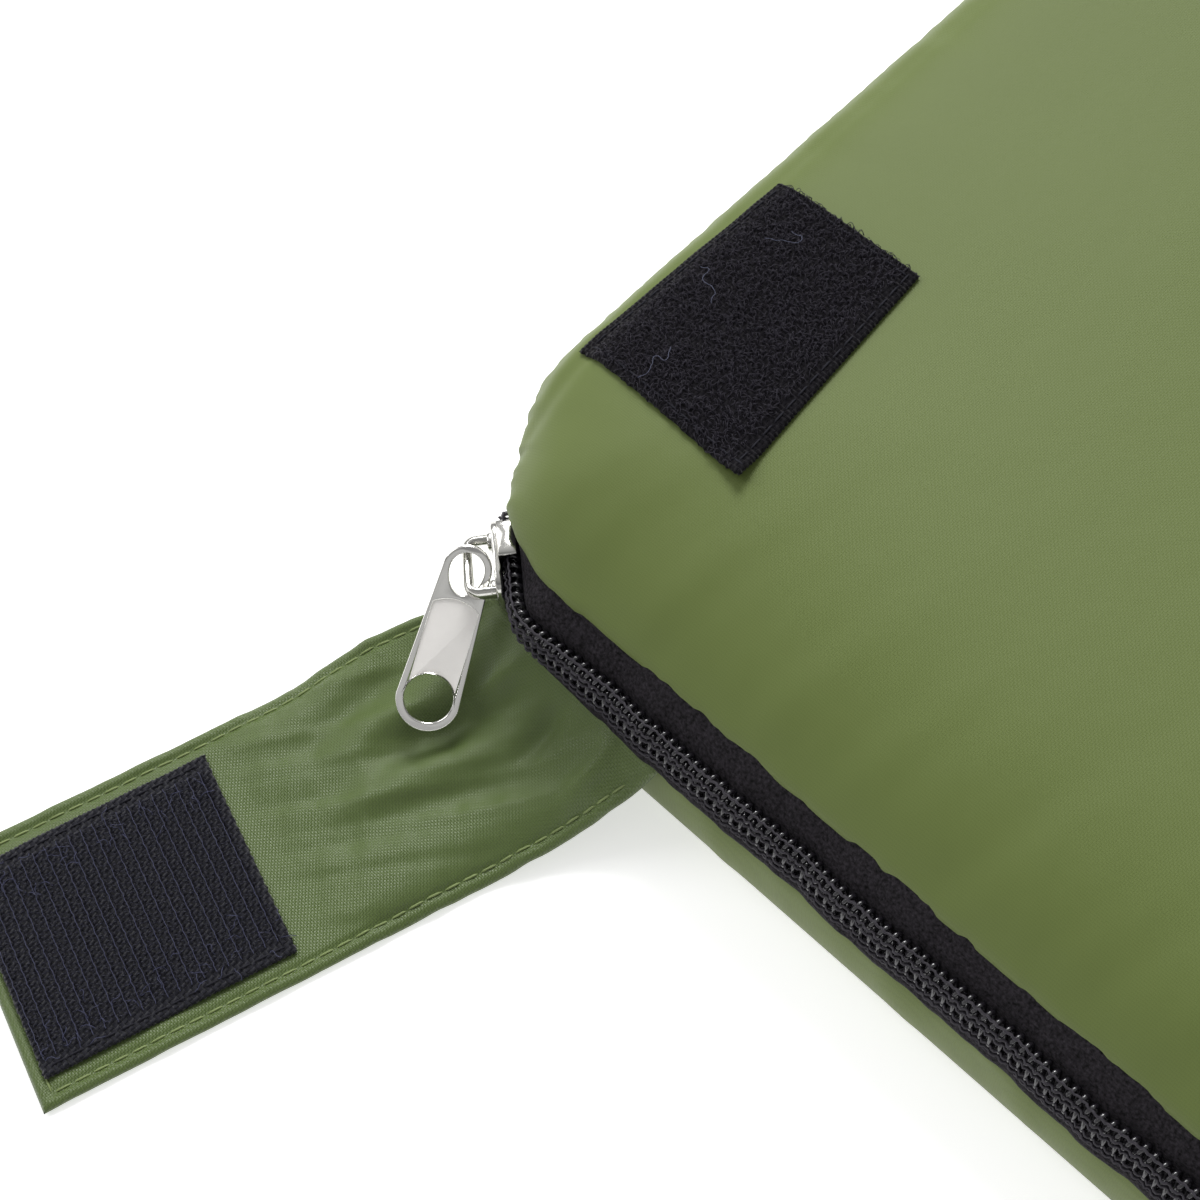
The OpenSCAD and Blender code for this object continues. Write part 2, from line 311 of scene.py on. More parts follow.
def make_tone():
    """Slow, uneven changes of shade: 1 on average, lighter and darker by Amount."""
    group, given, result = new_group(
        "slow_tone",
        [("Color", COLOR, None), ("Size", FLOAT, 0.05), ("Amount", FLOAT, 0.1)],
        [("Color", COLOR, None)],
    )
    cloud = noise(group, given["Size"], 4.0)
    swing = compute(group, "MULTIPLY", compute(group, "SUBTRACT", cloud, 0.5), given["Amount"])
    gain = compute(group, "ADD", 1.0, compute(group, "MULTIPLY", swing, 2.0))
    shade = add_nodes(group, "ShaderNodeVectorMath", {0: given["Color"]}, operation="SCALE")
    group.links.new(gain, shade.inputs["Scale"])
    group.links.new(shade.outputs[0], result["Color"])
    return group


def make_rumple():
    """The small soft wrinkles of thin cloth, as a height."""
    group, given, result = new_group(
        "rumple",
        [("Size", FLOAT, 0.006), ("Stretch", FLOAT, 1.0)],
        [("Height", FLOAT, None)],
    )
    place = add_nodes(group, "ShaderNodeTexCoord").outputs["Object"]
    part = add_nodes(group, "ShaderNodeSeparateXYZ", {0: place}).outputs
    longer = compute(group, "DIVIDE", part[1], given["Stretch"])
    pulled = add_nodes(group, "ShaderNodeCombineXYZ", {0: part[0], 1: longer, 2: part[2]})
    cloud = noise(group, given["Size"], 3.0, pulled.outputs[0], Roughness=0.5)
    group.links.new(cloud, result["Height"])
    return group


def make_plating():
    """Roughness and bumps of plated metal: a cloudy polish with fine scratches."""
    group, given, result = new_group(
        "plating",
        [("Roughness", FLOAT, 0.2), ("Grain", FLOAT, 0.0001)],
        [("Roughness", FLOAT, None), ("Height", FLOAT, None)],
    )
    place = add_nodes(group, "ShaderNodeTexCoord").outputs["Object"]
    cloud = add_nodes(
        group, "ShaderNodeTexNoise", {"Vector": place, "Scale": 600.0, "Detail": 3.0}
    ).outputs[0]
    swing = compute(group, "MULTIPLY_ADD", cloud, 0.16, -0.08)
    group.links.new(compute(group, "ADD", given["Roughness"], swing), result["Roughness"])
    group.links.new(noise(group, given["Grain"], 2.0), result["Height"])
    return group


weave_group, tone_group = make_weave(), make_tone()
rumple_group, plating_group = make_rumple(), make_plating()
print("node groups:", [g.name for g in bpy.data.node_groups])

# %% Two ways to finish a piece: cloth and metal
def new_material(name):
    material = bpy.data.materials.new(name)
    material.use_nodes = True
    return material, material.node_tree, material.node_tree.nodes["Principled BSDF"]


def cloth_material(
    name, colour, thread=0.35, weave_depth=0.03, wrinkle=(6.0, 0.25), tone=(0.06, 0.08),
    roughness=0.6, sheen=0.2, gloss=0.35, stretch=1.0, gap_shade=0.35, mottle_and_hollow_shade=0.0,
):
    """Woven cloth; thread and wrinkle sizes and depths are in millimetres.

    The gap term paints shade between the threads; the mottle term is a knit mottle plus painted
    shade in the wrinkle hollows.
    """
    material, tree, shader = new_material(name)
    run = add_nodes(tree, "ShaderNodeUVMap", uv_map="cloth").outputs[0]
    weave = use_group(tree, weave_group, {"Vector": run, "Thread": thread * MM})["Height"]
    rumple = use_group(tree, rumple_group, {"Size": wrinkle[0] * MM, "Stretch": stretch})["Height"]
    shade = use_group(
        tree, tone_group, {"Color": linear(*colour), "Size": tone[0], "Amount": tone[1]}
    )["Color"]
    # Painted shade: the gaps between threads and the wrinkle hollows are darkened; the hollow term
    # is also a knit mottle.
    between = compute(tree, "MULTIPLY_ADD", weave, gap_shade, 1.0 - 0.8 * gap_shade - 0.5 * mottle_and_hollow_shade)
    between = compute(tree, "MULTIPLY_ADD", rumple, mottle_and_hollow_shade, between)
    threads = add_nodes(tree, "ShaderNodeVectorMath", {0: shade}, operation="SCALE")
    tree.links.new(between, threads.inputs["Scale"])
    tree.links.new(threads.outputs[0], shader.inputs["Base Color"])
    fine = bump(tree, weave, weave_depth, Normal=bump(tree, rumple, wrinkle[1]))
    tree.links.new(fine, shader.inputs["Normal"])
    shader.inputs["Roughness"].default_value = roughness
    shader.inputs["Sheen Weight"].default_value = sheen
    shader.inputs["Specular IOR Level"].default_value = gloss
    return material


def metal_material(name, colour, roughness, grain=0.1, depth=0.002, metallic=1.0):
    """Nickel-plated zinc; grain and its depth are in millimetres."""
    material, tree, shader = new_material(name)
    plating = use_group(tree, plating_group, {"Roughness": roughness, "Grain": grain * MM})
    tone = use_group(tree, tone_group, {"Color": linear(*colour), "Size": 0.003, "Amount": 0.05})
    tree.links.new(tone["Color"], shader.inputs["Base Color"])
    tree.links.new(plating["Roughness"], shader.inputs["Roughness"])
    tree.links.new(bump(tree, plating["Height"], depth), shader.inputs["Normal"])
    shader.inputs["Metallic"].default_value = metallic
    return material


def plain_material(name, colour, roughness, gloss=0.5, grain=0.3, depth=0.02):
    """Nylon or thread: one colour with a fine uneven surface."""
    material, tree, shader = new_material(name)
    tone = use_group(tree, tone_group, {"Color": linear(*colour), "Size": 0.004, "Amount": 0.2})
    tree.links.new(tone["Color"], shader.inputs["Base Color"])
    rumple = use_group(tree, rumple_group, {"Size": grain * MM, "Stretch": 1.0})["Height"]
    tree.links.new(bump(tree, rumple, depth), shader.inputs["Normal"])
    shader.inputs["Roughness"].default_value = roughness
    shader.inputs["Specular IOR Level"].default_value = gloss
    return material


FINISHES = {
    "shell_cloth": cloth_material(
        "shell_cloth", (98, 112, 57), sheen=0.05, gloss=0.28, roughness=0.55, tone=(0.12, 0.05),
        wrinkle=(8.0, 0.10), weave_depth=0.012, gap_shade=0.12,
    ),
    "lining_cloth": cloth_material(
        "lining_cloth", (96, 110, 64), roughness=0.7, wrinkle=(9.0, 0.4), thread=0.45
    ),
    "tab_cloth": cloth_material(
        "tab_cloth", (84, 102, 48), roughness=0.42, sheen=0.08, wrinkle=(6.0, 0.2),
        gloss=0.5, tone=(0.02, 0.08), thread=0.34, weave_depth=0.045, gap_shade=0.38,
    ),
    "zip_tape": cloth_material(
        "zip_tape", (35, 32, 36), thread=0.4, weave_depth=0.03, wrinkle=(0.5, 0.3),
        roughness=0.8, sheen=0.02, gloss=0.12, gap_shade=0.2, mottle_and_hollow_shade=4.5,
    ),
    "hook_tape": cloth_material(
        "hook_tape", (17, 17, 28), thread=0.7, weave_depth=0.25, wrinkle=(2.0, 0.2),
        roughness=0.8, gloss=0.25,
    ),
    "loop_tape": cloth_material(
        "loop_tape", (17, 15, 20), thread=0.6, weave_depth=0.12, wrinkle=(2.0, 0.3),
        roughness=0.95, gloss=0.1, sheen=0.1,
    ),
    "hook_nylon": plain_material("hook_nylon", (31, 31, 47), 0.5),
    "hook_ridge": plain_material("hook_ridge", (62, 64, 92), 0.6),
    "pale_lint": plain_material("pale_lint", (104, 108, 132), 0.7),
    "loop_fuzz": plain_material("loop_fuzz", (45, 42, 52), 0.6, gloss=0.35),
    "zip_coil": plain_material("zip_coil", (34, 32, 37), 0.24, gloss=1.0, grain=0.5, depth=0.01),
    "zip_thread": plain_material("zip_thread", (48, 45, 52), 0.6, gloss=0.35),
    "green_thread": plain_material("green_thread", (122, 137, 84), 0.6, grain=0.2),
    "black_thread": plain_material("black_thread", (27, 27, 36), 0.75, gloss=0.3, grain=0.2),
    "slider_metal": metal_material("slider_metal", (196, 195, 190), 0.18),
    "pull_metal": metal_material("pull_metal", (234, 233, 229), 0.13),
    "pull_matte": metal_material(
        "pull_matte", (253, 250, 246), 0.6, grain=0.2, depth=0.03, metallic=0.0
    ),
}
print(len(FINISHES), "finishes")


# %% [markdown]
# ## The outline of a quilt
# Seen from above, a quilt is a long rectangle with a cut-off mouth corner, where the zip
# begins, and rounded other corners. Every cloth height later on depends on how far a
# point lies inside this outline, so one function measures that distance. Near the mouth
# corner the straight cuts melt into each other, as a sewn corner does.

# %% Distance inside an outline
LOWER_OUTLINE = {
    "zip": -1.0, "foot": -1900.0, "foot_radius": 45.0,
    "cuts": (((5.6, -14.0), 40.0), ((18.5, -4.6), 60.0)),
}
UPPER_OUTLINE = {
    "zip": 5.0, "foot": -1894.0, "foot_radius": 39.0,
    "cuts": (((5.0, -20.5), 22.0), ((8.6, -11.6), 57.5)),
}
SPINE_X = 747.0
SPINE_RADIUS = 20.0
CORNER_SOFTNESS = 1.0


def side_distances(x, y, outline):
    """How far each point is inside the zip side, the foot, the mouth, the spine and the cuts."""
    sides = [x - outline["zip"], y - outline["foot"], -y, SPINE_X - x]
    for (px, py), angle in outline["cuts"]:
        a = math.radians(angle)
        sides.append((x - px) * math.cos(a) - (y - py) * math.sin(a))
    return np.stack(sides)


def inside_distance(x, y, outline):
    sides = side_distances(x, y, outline)
    least = sides.min(0)
    melt = np.exp(-(sides - least) / CORNER_SOFTNESS).sum(0)
    distance = least - CORNER_SOFTNESS * np.log(melt)
    zip_x, foot_y, foot_r = outline["zip"], outline["foot"], outline["foot_radius"]
    rounds = (
        (zip_x + foot_r, foot_y + foot_r, -1, -1, foot_r),
        (SPINE_X - SPINE_RADIUS, foot_y + SPINE_RADIUS, 1, -1, SPINE_RADIUS),
        (SPINE_X - SPINE_RADIUS, -SPINE_RADIUS, 1, 1, SPINE_RADIUS),
    )
    for cx, cy, side_x, side_y, radius in rounds:
        in_corner = ((x - cx) * side_x > 0) & ((y - cy) * side_y > 0)
        distance = np.where(in_corner, radius - np.hypot(x - cx, y - cy), distance)
    return distance


# %% [markdown]
# A cloth panel starts as Blender's own grid. Its lines are then spread so that they are
# close together where the cloth has fine folds and far apart where it is plain. The
# corners of the grid are pulled in along rays until they meet the outline, which keeps
# the faces even and needs no trimming.

# %% A grid that follows an outline
CORNER_SQUARE = 60.0


def halve(low, high, is_low, rounds):
    """Closes in on the place where is_low stops being true, by halving."""
    for _ in range(rounds):
        middle = (low + high) / 2
        below = is_low(middle)
        low, high = np.where(below, middle, low), np.where(below, high, middle)
    return low


def graded_lines(start, end, step_at):
    """Places of grid lines from start to end, step_at(place) apart."""
    places = [start]
    while places[-1] < end:
        places.append(places[-1] + step_at(places[-1]))
    places = np.array(places)
    return start + (places - start) * (end - start) / (places[-1] - start)


def bend_corners(x, y, outline):
    """Moves the points of a rectangle into the outline, corner by corner."""
    x, y = x.copy(), y.copy()
    zip_x, foot_y = outline["zip"], outline["foot"]
    inner = CORNER_SQUARE
    for corner_x, corner_y in ((zip_x, 0), (zip_x, foot_y), (SPINE_X, foot_y), (SPINE_X, 0)):
        centre_x = corner_x + (inner if corner_x == zip_x else -inner)
        centre_y = corner_y + (inner if corner_y == foot_y else -inner)
        dx, dy = x - centre_x, y - centre_y
        near = (dx * (corner_x - centre_x) > 0) & (dy * (corner_y - centre_y) > 0)
        near &= (np.abs(dx) <= inner + 1e-6) & (np.abs(dy) <= inner + 1e-6)
        reach = np.hypot(dx, dy)[near]
        ux, uy = dx[near] / reach, dy[near] / reach
        square_edge = inner / np.maximum(np.abs(ux), np.abs(uy))
        edge = halve(
            np.zeros_like(reach), square_edge + 1,
            lambda r: inside_distance(centre_x + ux * r, centre_y + uy * r, outline) > 0, 28,
        )
        x[near] = centre_x + ux * reach * edge / square_edge
        y[near] = centre_y + uy * reach * edge / square_edge
    return x, y


def grid_bmesh(xs, ys):
    """A grid with its lines at xs and ys, and the vertex coordinates as arrays."""
    bm = bmesh.new()
    bmesh.ops.create_grid(bm, x_segments=len(xs) - 1, y_segments=len(ys) - 1, size=0.5)
    at = np.array([v.co[:] for v in bm.verts])
    column = np.rint((at[:, 0] + 0.5) * (len(xs) - 1)).astype(int)
    row = np.rint((at[:, 1] + 0.5) * (len(ys) - 1)).astype(int)
    return bm, np.asarray(xs)[column], np.asarray(ys)[row]


def place_verts(verts, points):
    for vert, point in zip(verts, points):
        vert.co = point


def finish_piece(bm, name, body, slot, finish=None, cloth=None, turn_out=True):
    """Makes the object: normals, smooth faces, the cloth map, its finish and its body."""
    if turn_out:
        bmesh.ops.recalc_face_normals(bm, faces=bm.faces)
    mesh = bpy.data.meshes.new(name)
    bm.to_mesh(mesh)
    bm.free()
    piece = bpy.data.objects.new(name, mesh)
    bpy.context.scene.collection.objects.link(piece)
    mesh.polygons.foreach_set("use_smooth", [True] * len(mesh.polygons))
    if cloth is not None:
        lay_cloth_map(mesh, cloth)
    mesh.materials.append(FINISHES[finish or slot])
    if body:
        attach(piece, body)
    return piece


def lay_cloth_map(mesh, cloth):
    """A UV map in metres along the cloth, from a function of the vertex coordinates."""
    at = np.empty(len(mesh.vertices) * 3)
    mesh.vertices.foreach_get("co", at)
    at = at.reshape(-1, 3)
    flat = np.column_stack(cloth(at))
    loops = np.empty(len(mesh.loops), int)
    mesh.loops.foreach_get("vertex_index", loops)
    layer = mesh.uv_layers.new(name="cloth")
    layer.data.foreach_set("uv", flat[loops].ravel().astype(np.float32))


def give_thickness(piece, thickness):
    """Cloth of an even thickness, centred on the piece's own surface."""
    solid = piece.modifiers.new("thickness", "SOLIDIFY")
    solid.thickness = thickness * MM
    solid.offset = 0


def from_above(at):
    return at[:, 0], at[:, 1]


# %% [markdown]
# ## The shape of a padded quilt
# Wadding makes a quilt swell quickly from its sewn edges and then stay level. At each
# quilting line the thread pulls the cloth down and gathers it into small folds that
# run away from the line. The same function gives the height of the upper quilt for
# everything that is sewn onto it.

# %% The height of the upper quilt
QUILT_LINES = [-1600.0, -1300.0, -1000.0, -700.0, -400.0]
EDGE_SHAPES = {
    "zip": (30.0, 10.5), "foot": (30.0, 14.0), "mouth": (31.0, 3.6), "spine": (36.0, 16.0),
}
# Puckers: height, length and phase. Ridges along an edge: height, distance in and spread.
ZIP_PUCKER, FINE_PUCKER, MOUTH_PUCKER = (0.34, 21, 0.4), (0.05, 8.5, 1.1), (0.30, 17, 2.2)
SEAM_RIDGE = (0.16, 0.7, 0.7)
MOUTH_FOLDS = ((0.45, 4.4, 1.3), (-0.50, 6.8, 1.2))


def ripple(place, length, phase):
    """An uneven wave: three sines whose lengths don't repeat together."""
    turn = 2 * math.pi / length
    return (
        np.sin(place * turn + phase)
        + 0.6 * np.sin(place * turn * 1.73 + 2.1 * phase + 1)
        + 0.35 * np.sin(place * turn * 2.91 + 3.7 * phase + 2)
    ) / 1.5


def pucker(place, shape):
    height, length, phase = shape
    return height * ripple(place, length, phase)


def quilting_dip(x, y):
    """How far the quilting threads pull the cloth down, with the gathers beside them."""
    dip = np.zeros_like(x)
    for i, line in enumerate(QUILT_LINES):
        away = np.abs(y - line)
        dip += 6.5 * np.exp(-((away / 16) ** 1.2))
        dip += 0.9 * ripple(x, 31, i) * np.exp(-away / 32) * (1 - np.exp(-away / 5))
    return dip


def upper_surface(x, y):
    """Height of the upper quilt's outer cloth at points in corner millimetres."""
    sides = side_distances(x, y, UPPER_OUTLINE)
    inside = np.maximum(inside_distance(x, y, UPPER_OUTLINE), 0)
    shapes = [EDGE_SHAPES[k] for k in ("zip", "foot", "mouth", "spine")]
    shapes += [EDGE_SHAPES["zip"], EDGE_SHAPES["mouth"]]
    pull = np.exp(-np.clip(sides - sides.min(0), 0, 60) / 7.0)
    edge = sum(w * s[0] for w, s in zip(pull, shapes)) / pull.sum(0)
    swell = sum(w * s[1] for w, s in zip(pull, shapes)) / pull.sum(0)
    z = edge + (upper_top - 0.4 - edge) * (1 - np.exp(-inside / swell))
    zip_side, mouth = np.maximum(sides[0], 0), np.maximum(sides[2], 0)
    near_zip = np.exp(-zip_side / 13) * (1 - np.exp(-inside / 3))
    near_mouth = np.exp(-mouth / 9) * (1 - np.exp(-inside / 3))
    z = z + pucker(y + 0.25 * x, ZIP_PUCKER) * near_zip
    z = z + pucker(y - 0.5 * x, FINE_PUCKER) * near_zip
    z = z + pucker(x + 0.3 * y, MOUTH_PUCKER) * near_mouth
    ridge, place, spread = SEAM_RIDGE
    z = z + ridge * np.exp(-(((inside - place) / spread) ** 2))
    for height, place, spread in MOUTH_FOLDS:
        fade = np.exp(-np.abs(x - 20) / 60)
        z = z + height * np.exp(-(((mouth - place) / spread) ** 2)) * fade
    far = 1 - np.exp(-inside / 40)
    z = z + far * (0.5 * ripple(x + 0.4 * y, 170, 1.0) + 0.5 * ripple(y - 0.3 * x, 210, 2.0))
    middle = 1 - np.exp(-inside / 90)
    return z + 1.2 * middle - quilting_dip(x, y) * (1 - np.exp(-inside / 12))


sample = upper_surface(np.array([5.0, 50.0, 370.0]), np.array([-60.0, -21.0, -850.0]))
print("upper quilt heights:", np.round(sample, 1))


# %% [markdown]
# ## The two quilts
# Each quilt's cover is a closed body: the outer cloth, a rolled edge made by extruding
# the rim, and a flat face over the opening that the lining hides. The lining is a thin
# sheet of its own.

# %% Rolled edges
def rim_directions(verts, outline):
    """The outward direction in plan at each rim vertex, from the slope of the distance."""
    at = (np.array([v.co[:] for v in verts]) - np.array(corner)) / MM
    step = 0.05
    x, y = at[:, 0], at[:, 1]
    gx = inside_distance(x + step, y, outline) - inside_distance(x - step, y, outline)
    gy = inside_distance(x, y + step, outline) - inside_distance(x, y - step, outline)
    size = np.maximum(np.hypot(gx, gy), 1e-9)
    return at, -gx / size, -gy / size


def roll_edge(bm, outline, steps):
    """Extrudes the open rim once for each step; steps give (outward, height) per vertex."""
    rim = [e for e in bm.edges if e.is_boundary]
    for step in steps:
        grown = bmesh.ops.extrude_edge_only(bm, edges=rim)["geom"]
        new_verts = [g for g in grown if isinstance(g, bmesh.types.BMVert)]
        rim = [g for g in grown if isinstance(g, bmesh.types.BMEdge) and g.is_boundary]
        at, out_x, out_y = rim_directions(new_verts, outline)
        outward, height = step(at)
        x, y = at[:, 0] + out_x * outward, at[:, 1] + out_y * outward
        place_verts(new_verts, world(x, y, height))
    bmesh.ops.contextual_create(bm, geom=rim)
    cap = max(bm.faces, key=lambda f: len(f.verts))
    print("rim", len(rim), "edges, cap of", len(cap.verts), "corners")


def to_quilt_line(place):
    return min(abs(-place - line) for line in QUILT_LINES)


def quilt_panel(outline, close, down):
    """A quilt's grid; close and down give the steps across and along. Also the distance inside."""
    xs = outline["zip"] + graded_lines(0, SPINE_X - outline["zip"], close)
    ys = -graded_lines(0, -outline["foot"], down)[::-1]
    bm, x, y = grid_bmesh(xs, ys)
    x, y = bend_corners(x, y, outline)
    return bm, x, y, np.maximum(inside_distance(x, y, outline), 0)


def scallop(x, y):
    """The small in-and-out of a sewn edge, strongest along the mouth."""
    return np.where(y > -30, 0.32 * ripple(x, 4.4, 0.5), 0.07 * ripple(y, 9.7, 0.9))


def make_upper_cover():
    def close(place):
        return 0.6 if place < 9 else 1.25 if place < 165 else min(10, 1.25 + (place - 165) / 12)

    def down(place):
        return min(close(place), 3 if to_quilt_line(place) < 24 else 12)

    bm, x, y, inside = quilt_panel(UPPER_OUTLINE, close, down)
    z = upper_surface(x, y)
    push = scallop(x, y) * np.exp(-inside / 1.6)
    to_mouth = np.exp(-np.abs(y) / 12)
    place_verts(bm.verts, world(x - push * (1 - to_mouth), y + push * to_mouth, z))
    under = lining_z + 0.5
    roll_edge(bm, UPPER_OUTLINE, [
        lambda at: (0.35, at[:, 2] - 0.9),
        lambda at: (-0.1, np.maximum(at[:, 2] - 0.9, under + 0.3)),
        lambda at: (-2.2, np.full(len(at), under)),
    ])
    cover = finish_piece(bm, "upper_cover", "upper_quilt", "shell_cloth", cloth=from_above)
    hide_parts("top_shell", "top_fill")
    return cover


def make_lower_cover():
    def close(place):
        return 1.1 if place < 30 else min(14, 1.1 + (place - 30) / 6)

    def down(place):
        fine = 1.25 if place < 165 else min(12, 1.25 + (place - 165) / 12)
        return min(fine, 5 if to_quilt_line(place) < 24 else 12)

    bm, x, y, inside = quilt_panel(LOWER_OUTLINE, close, down)
    z = 1.6 * np.exp(-inside / 1.5) + quilting_dip(x, y) * 0.35 * (1 - np.exp(-inside / 12))
    place_verts(bm.verts, world(x, y, np.maximum(z, 0)))

    def ribs(at, size):
        along = at[:, 1] + at[:, 0]
        return size * (0.14 * ripple(along, 10.7, 0.7) + 0.5 * ripple(along, 31, 1.9))

    top = lower_top - 0.9
    roll_edge(bm, LOWER_OUTLINE, [
        lambda at: (0.5 + ribs(at, 0.4), np.full(len(at), 4.0)),
        lambda at: (0.35 + ribs(at, 0.5), np.full(len(at), 7.0)),
        lambda at: (-0.05 + ribs(at, 0.1), np.full(len(at), 10.0)),
        lambda at: (-0.35 - ribs(at, 0.4), np.full(len(at), 12.6)),
        lambda at: (-0.45 - ribs(at, 0.5), np.full(len(at), 14.4)),
        lambda at: (-0.7, np.full(len(at), top + 0.2)),
        lambda at: (-2.4, np.full(len(at), top)),
    ])
    cover = finish_piece(bm, "lower_cover", "lower_quilt", "shell_cloth", cloth=from_above)
    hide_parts("bottom_shell", "bottom_fill")
    return cover


upper_cover, lower_cover = make_upper_cover(), make_lower_cover()
print("covers:", len(upper_cover.data.polygons), "and", len(lower_cover.data.polygons), "faces")

# %% Linings: thin sheets over the wadding
LINING_T = 0.5


def lining_swell(x, y):
    return 0.35 * ripple(x + 0.5 * y, 60, 1.0) + 0.35 * ripple(y - 0.3 * x, 75, 2.0)


def make_lining(name, body, node, outline, level, way):
    """A lining at a height; way is 1 where its free side looks up and -1 where it looks down."""
    def close(place):
        return 3 if place < 15 else 11

    def down(place):
        return min(close(place), 4 if to_quilt_line(place) < 20 else 11)

    bm, x, y, inside = quilt_panel(outline, close, down)
    lift = 1.0 + lining_swell(x, y) - 0.30 * quilting_dip(x, y)
    z = level + way * (1 - np.exp(-inside / 9)) * lift
    at = world(x + 1.0 * (1 - 2 * (x - outline["zip"]) / (SPINE_X - outline["zip"])),
               y - 1.0 * (1 + 2 * y / -outline["foot"]), z)
    place_verts(bm.verts, at)
    lining = finish_piece(bm, name, body, "lining_cloth", cloth=from_above)
    give_thickness(lining, LINING_T)
    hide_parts(node)
    return lining


lower_lining = make_lining(
    "lower_lining", "lower_quilt", "bottom_lining", LOWER_OUTLINE, lower_top - 0.3, 1
)
make_lining(
    "upper_lining", "upper_quilt", "top_lining", UPPER_OUTLINE, lining_z + 0.3, -1
)
print("linings:", len(lower_lining.data.polygons), "faces each")


# %% [markdown]
# ## Wires, threads and stitches
# A coil zip, its sewing threads, hook tape and loop tape are all thin bent wires. A
# Blender curve with a bevel makes a wire along any line of points, so one helper turns
# lists of points into tubes. Stitches are short beads that lie end to end.

# %% Helpers for wires and stitches
def mesh_from_curve(curve):
    """Turns curve data into a bmesh, and throws the curve away."""
    holder = bpy.data.objects.new("holder", curve)
    bpy.context.scene.collection.objects.link(holder)
    solid = holder.evaluated_get(bpy.context.evaluated_depsgraph_get())
    mesh = bpy.data.meshes.new_from_object(solid)
    bm = bmesh.new()
    bm.from_mesh(mesh)
    bpy.data.objects.remove(holder)
    bpy.data.curves.remove(curve)
    bpy.data.meshes.remove(mesh)
    return bm


def wire_curve(name, radius, roundness):
    curve = bpy.data.curves.new(name, "CURVE")
    curve.dimensions = "3D"
    curve.bevel_depth = radius * MM
    curve.bevel_resolution = roundness
    curve.use_fill_caps = True
    return curve


def wires(lines, radius, roundness=0):
    """Tubes along lists of world points; roundness 0 has 4 sides and 1 has 6."""
    curve = wire_curve("wire", radius, roundness)
    for line in lines:
        spline = curve.splines.new("POLY")
        spline.points.add(len(line) - 1)
        spline.points.foreach_set(
            "co", np.column_stack([line, np.ones(len(line))]).astype(np.float32).ravel()
        )
    return mesh_from_curve(curve)


def places_along(points):
    """The distance of each point along a polyline."""
    return np.concatenate([[0], np.cumsum(np.linalg.norm(np.diff(points, axis=0), axis=1))])


def points_at(wanted, place, points):
    return np.column_stack([np.interp(wanted, place, points[:, i]) for i in range(3)])


def evenly(points, step):
    """Points and directions at even steps along a polyline."""
    place = places_along(points)
    wanted = np.arange(step / 2, place[-1], step)
    ahead = points_at(wanted + step / 4, place, points)
    return points_at(wanted, place, points), ahead - points_at(wanted - step / 4, place, points)


STITCH_SHAPE = ((-1.0, 0.45), (-0.6, 1.0), (0.6, 1.0), (1.0, 0.45))


def stitches(paths, pitch=3.0, long=2.3, wide=0.28, arch=0.12):
    """Short lengths of thread along world paths, thin where they dive; in millimetres."""
    curve = wire_curve("stitch", wide, 1)
    for path in paths:
        for at, ahead in zip(*evenly(path, pitch * MM)):
            half = ahead / np.linalg.norm(ahead) * long / 2 * MM
            spline = curve.splines.new("POLY")
            spline.points.add(3)
            for point, (share, size) in zip(spline.points, STITCH_SHAPE):
                rise = arch * MM * (2 * size - 1.6)
                point.co = (*(at + half * share + np.array([0, 0, rise])), 1)
                point.radius = size
    return mesh_from_curve(curve)


# %% Quilting threads on both quilts
def lining_height(x, y):
    return lower_top + 0.7 + lining_swell(x, y) - 0.30 * quilting_dip(x, y)


def thread_lines(height, start):
    x = np.linspace(start, SPINE_X - 4, 400)
    levels = [np.full_like(x, line) for line in QUILT_LINES]
    return [world(x, y, height(x, y)) for y in levels]


upper_thread = finish_piece(
    stitches(thread_lines(lambda x, y: upper_surface(x, y) + 0.12, 9), pitch=3.6, long=3.0),
    "upper_quilting_thread", "upper_quilt", "green_thread",
)
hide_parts("top_quilting")
lower_thread = finish_piece(
    stitches(thread_lines(lambda x, y: lining_height(x, y) + 0.12, 16), pitch=3.6, long=3.0),
    "lower_quilting_thread", "lower_quilt", "green_thread",
)
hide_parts("bottom_quilting")
print("quilting:", len(upper_thread.data.polygons) // 20, "stitches on each quilt")


# %% [markdown]
# ## The zip's line
# The zip starts at the cut mouth corner, turns down the side, goes round the foot and
# ends a hand's width before the spine. Its line is integrated from its heading, which
# turns twice. The chain stands upright at the slider and leans in everywhere else,
# because the upper quilt is a little smaller than the lower one.

# %% The zip's line, seen from above
BEVEL_TURN = math.radians(40.0)
BEVEL_POINT = LOWER_OUTLINE["cuts"][0][0]
CHAIN_INSET = 1.0
HEAD_PAST_SLIDER = 9.5
CORNER_RADIUS = 7.0
FOOT_CHAIN_RADIUS = 44.0
CHAIN_LEAN = 0.25
ZIP_STEP = 0.25
zip_end_x = (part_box("lower_coil")[1].x - corner.x) / MM
slider_x = BEVEL_POINT[0] + CHAIN_INSET * math.cos(BEVEL_TURN)
slider_y = BEVEL_POINT[1] - CHAIN_INSET * math.sin(BEVEL_TURN)


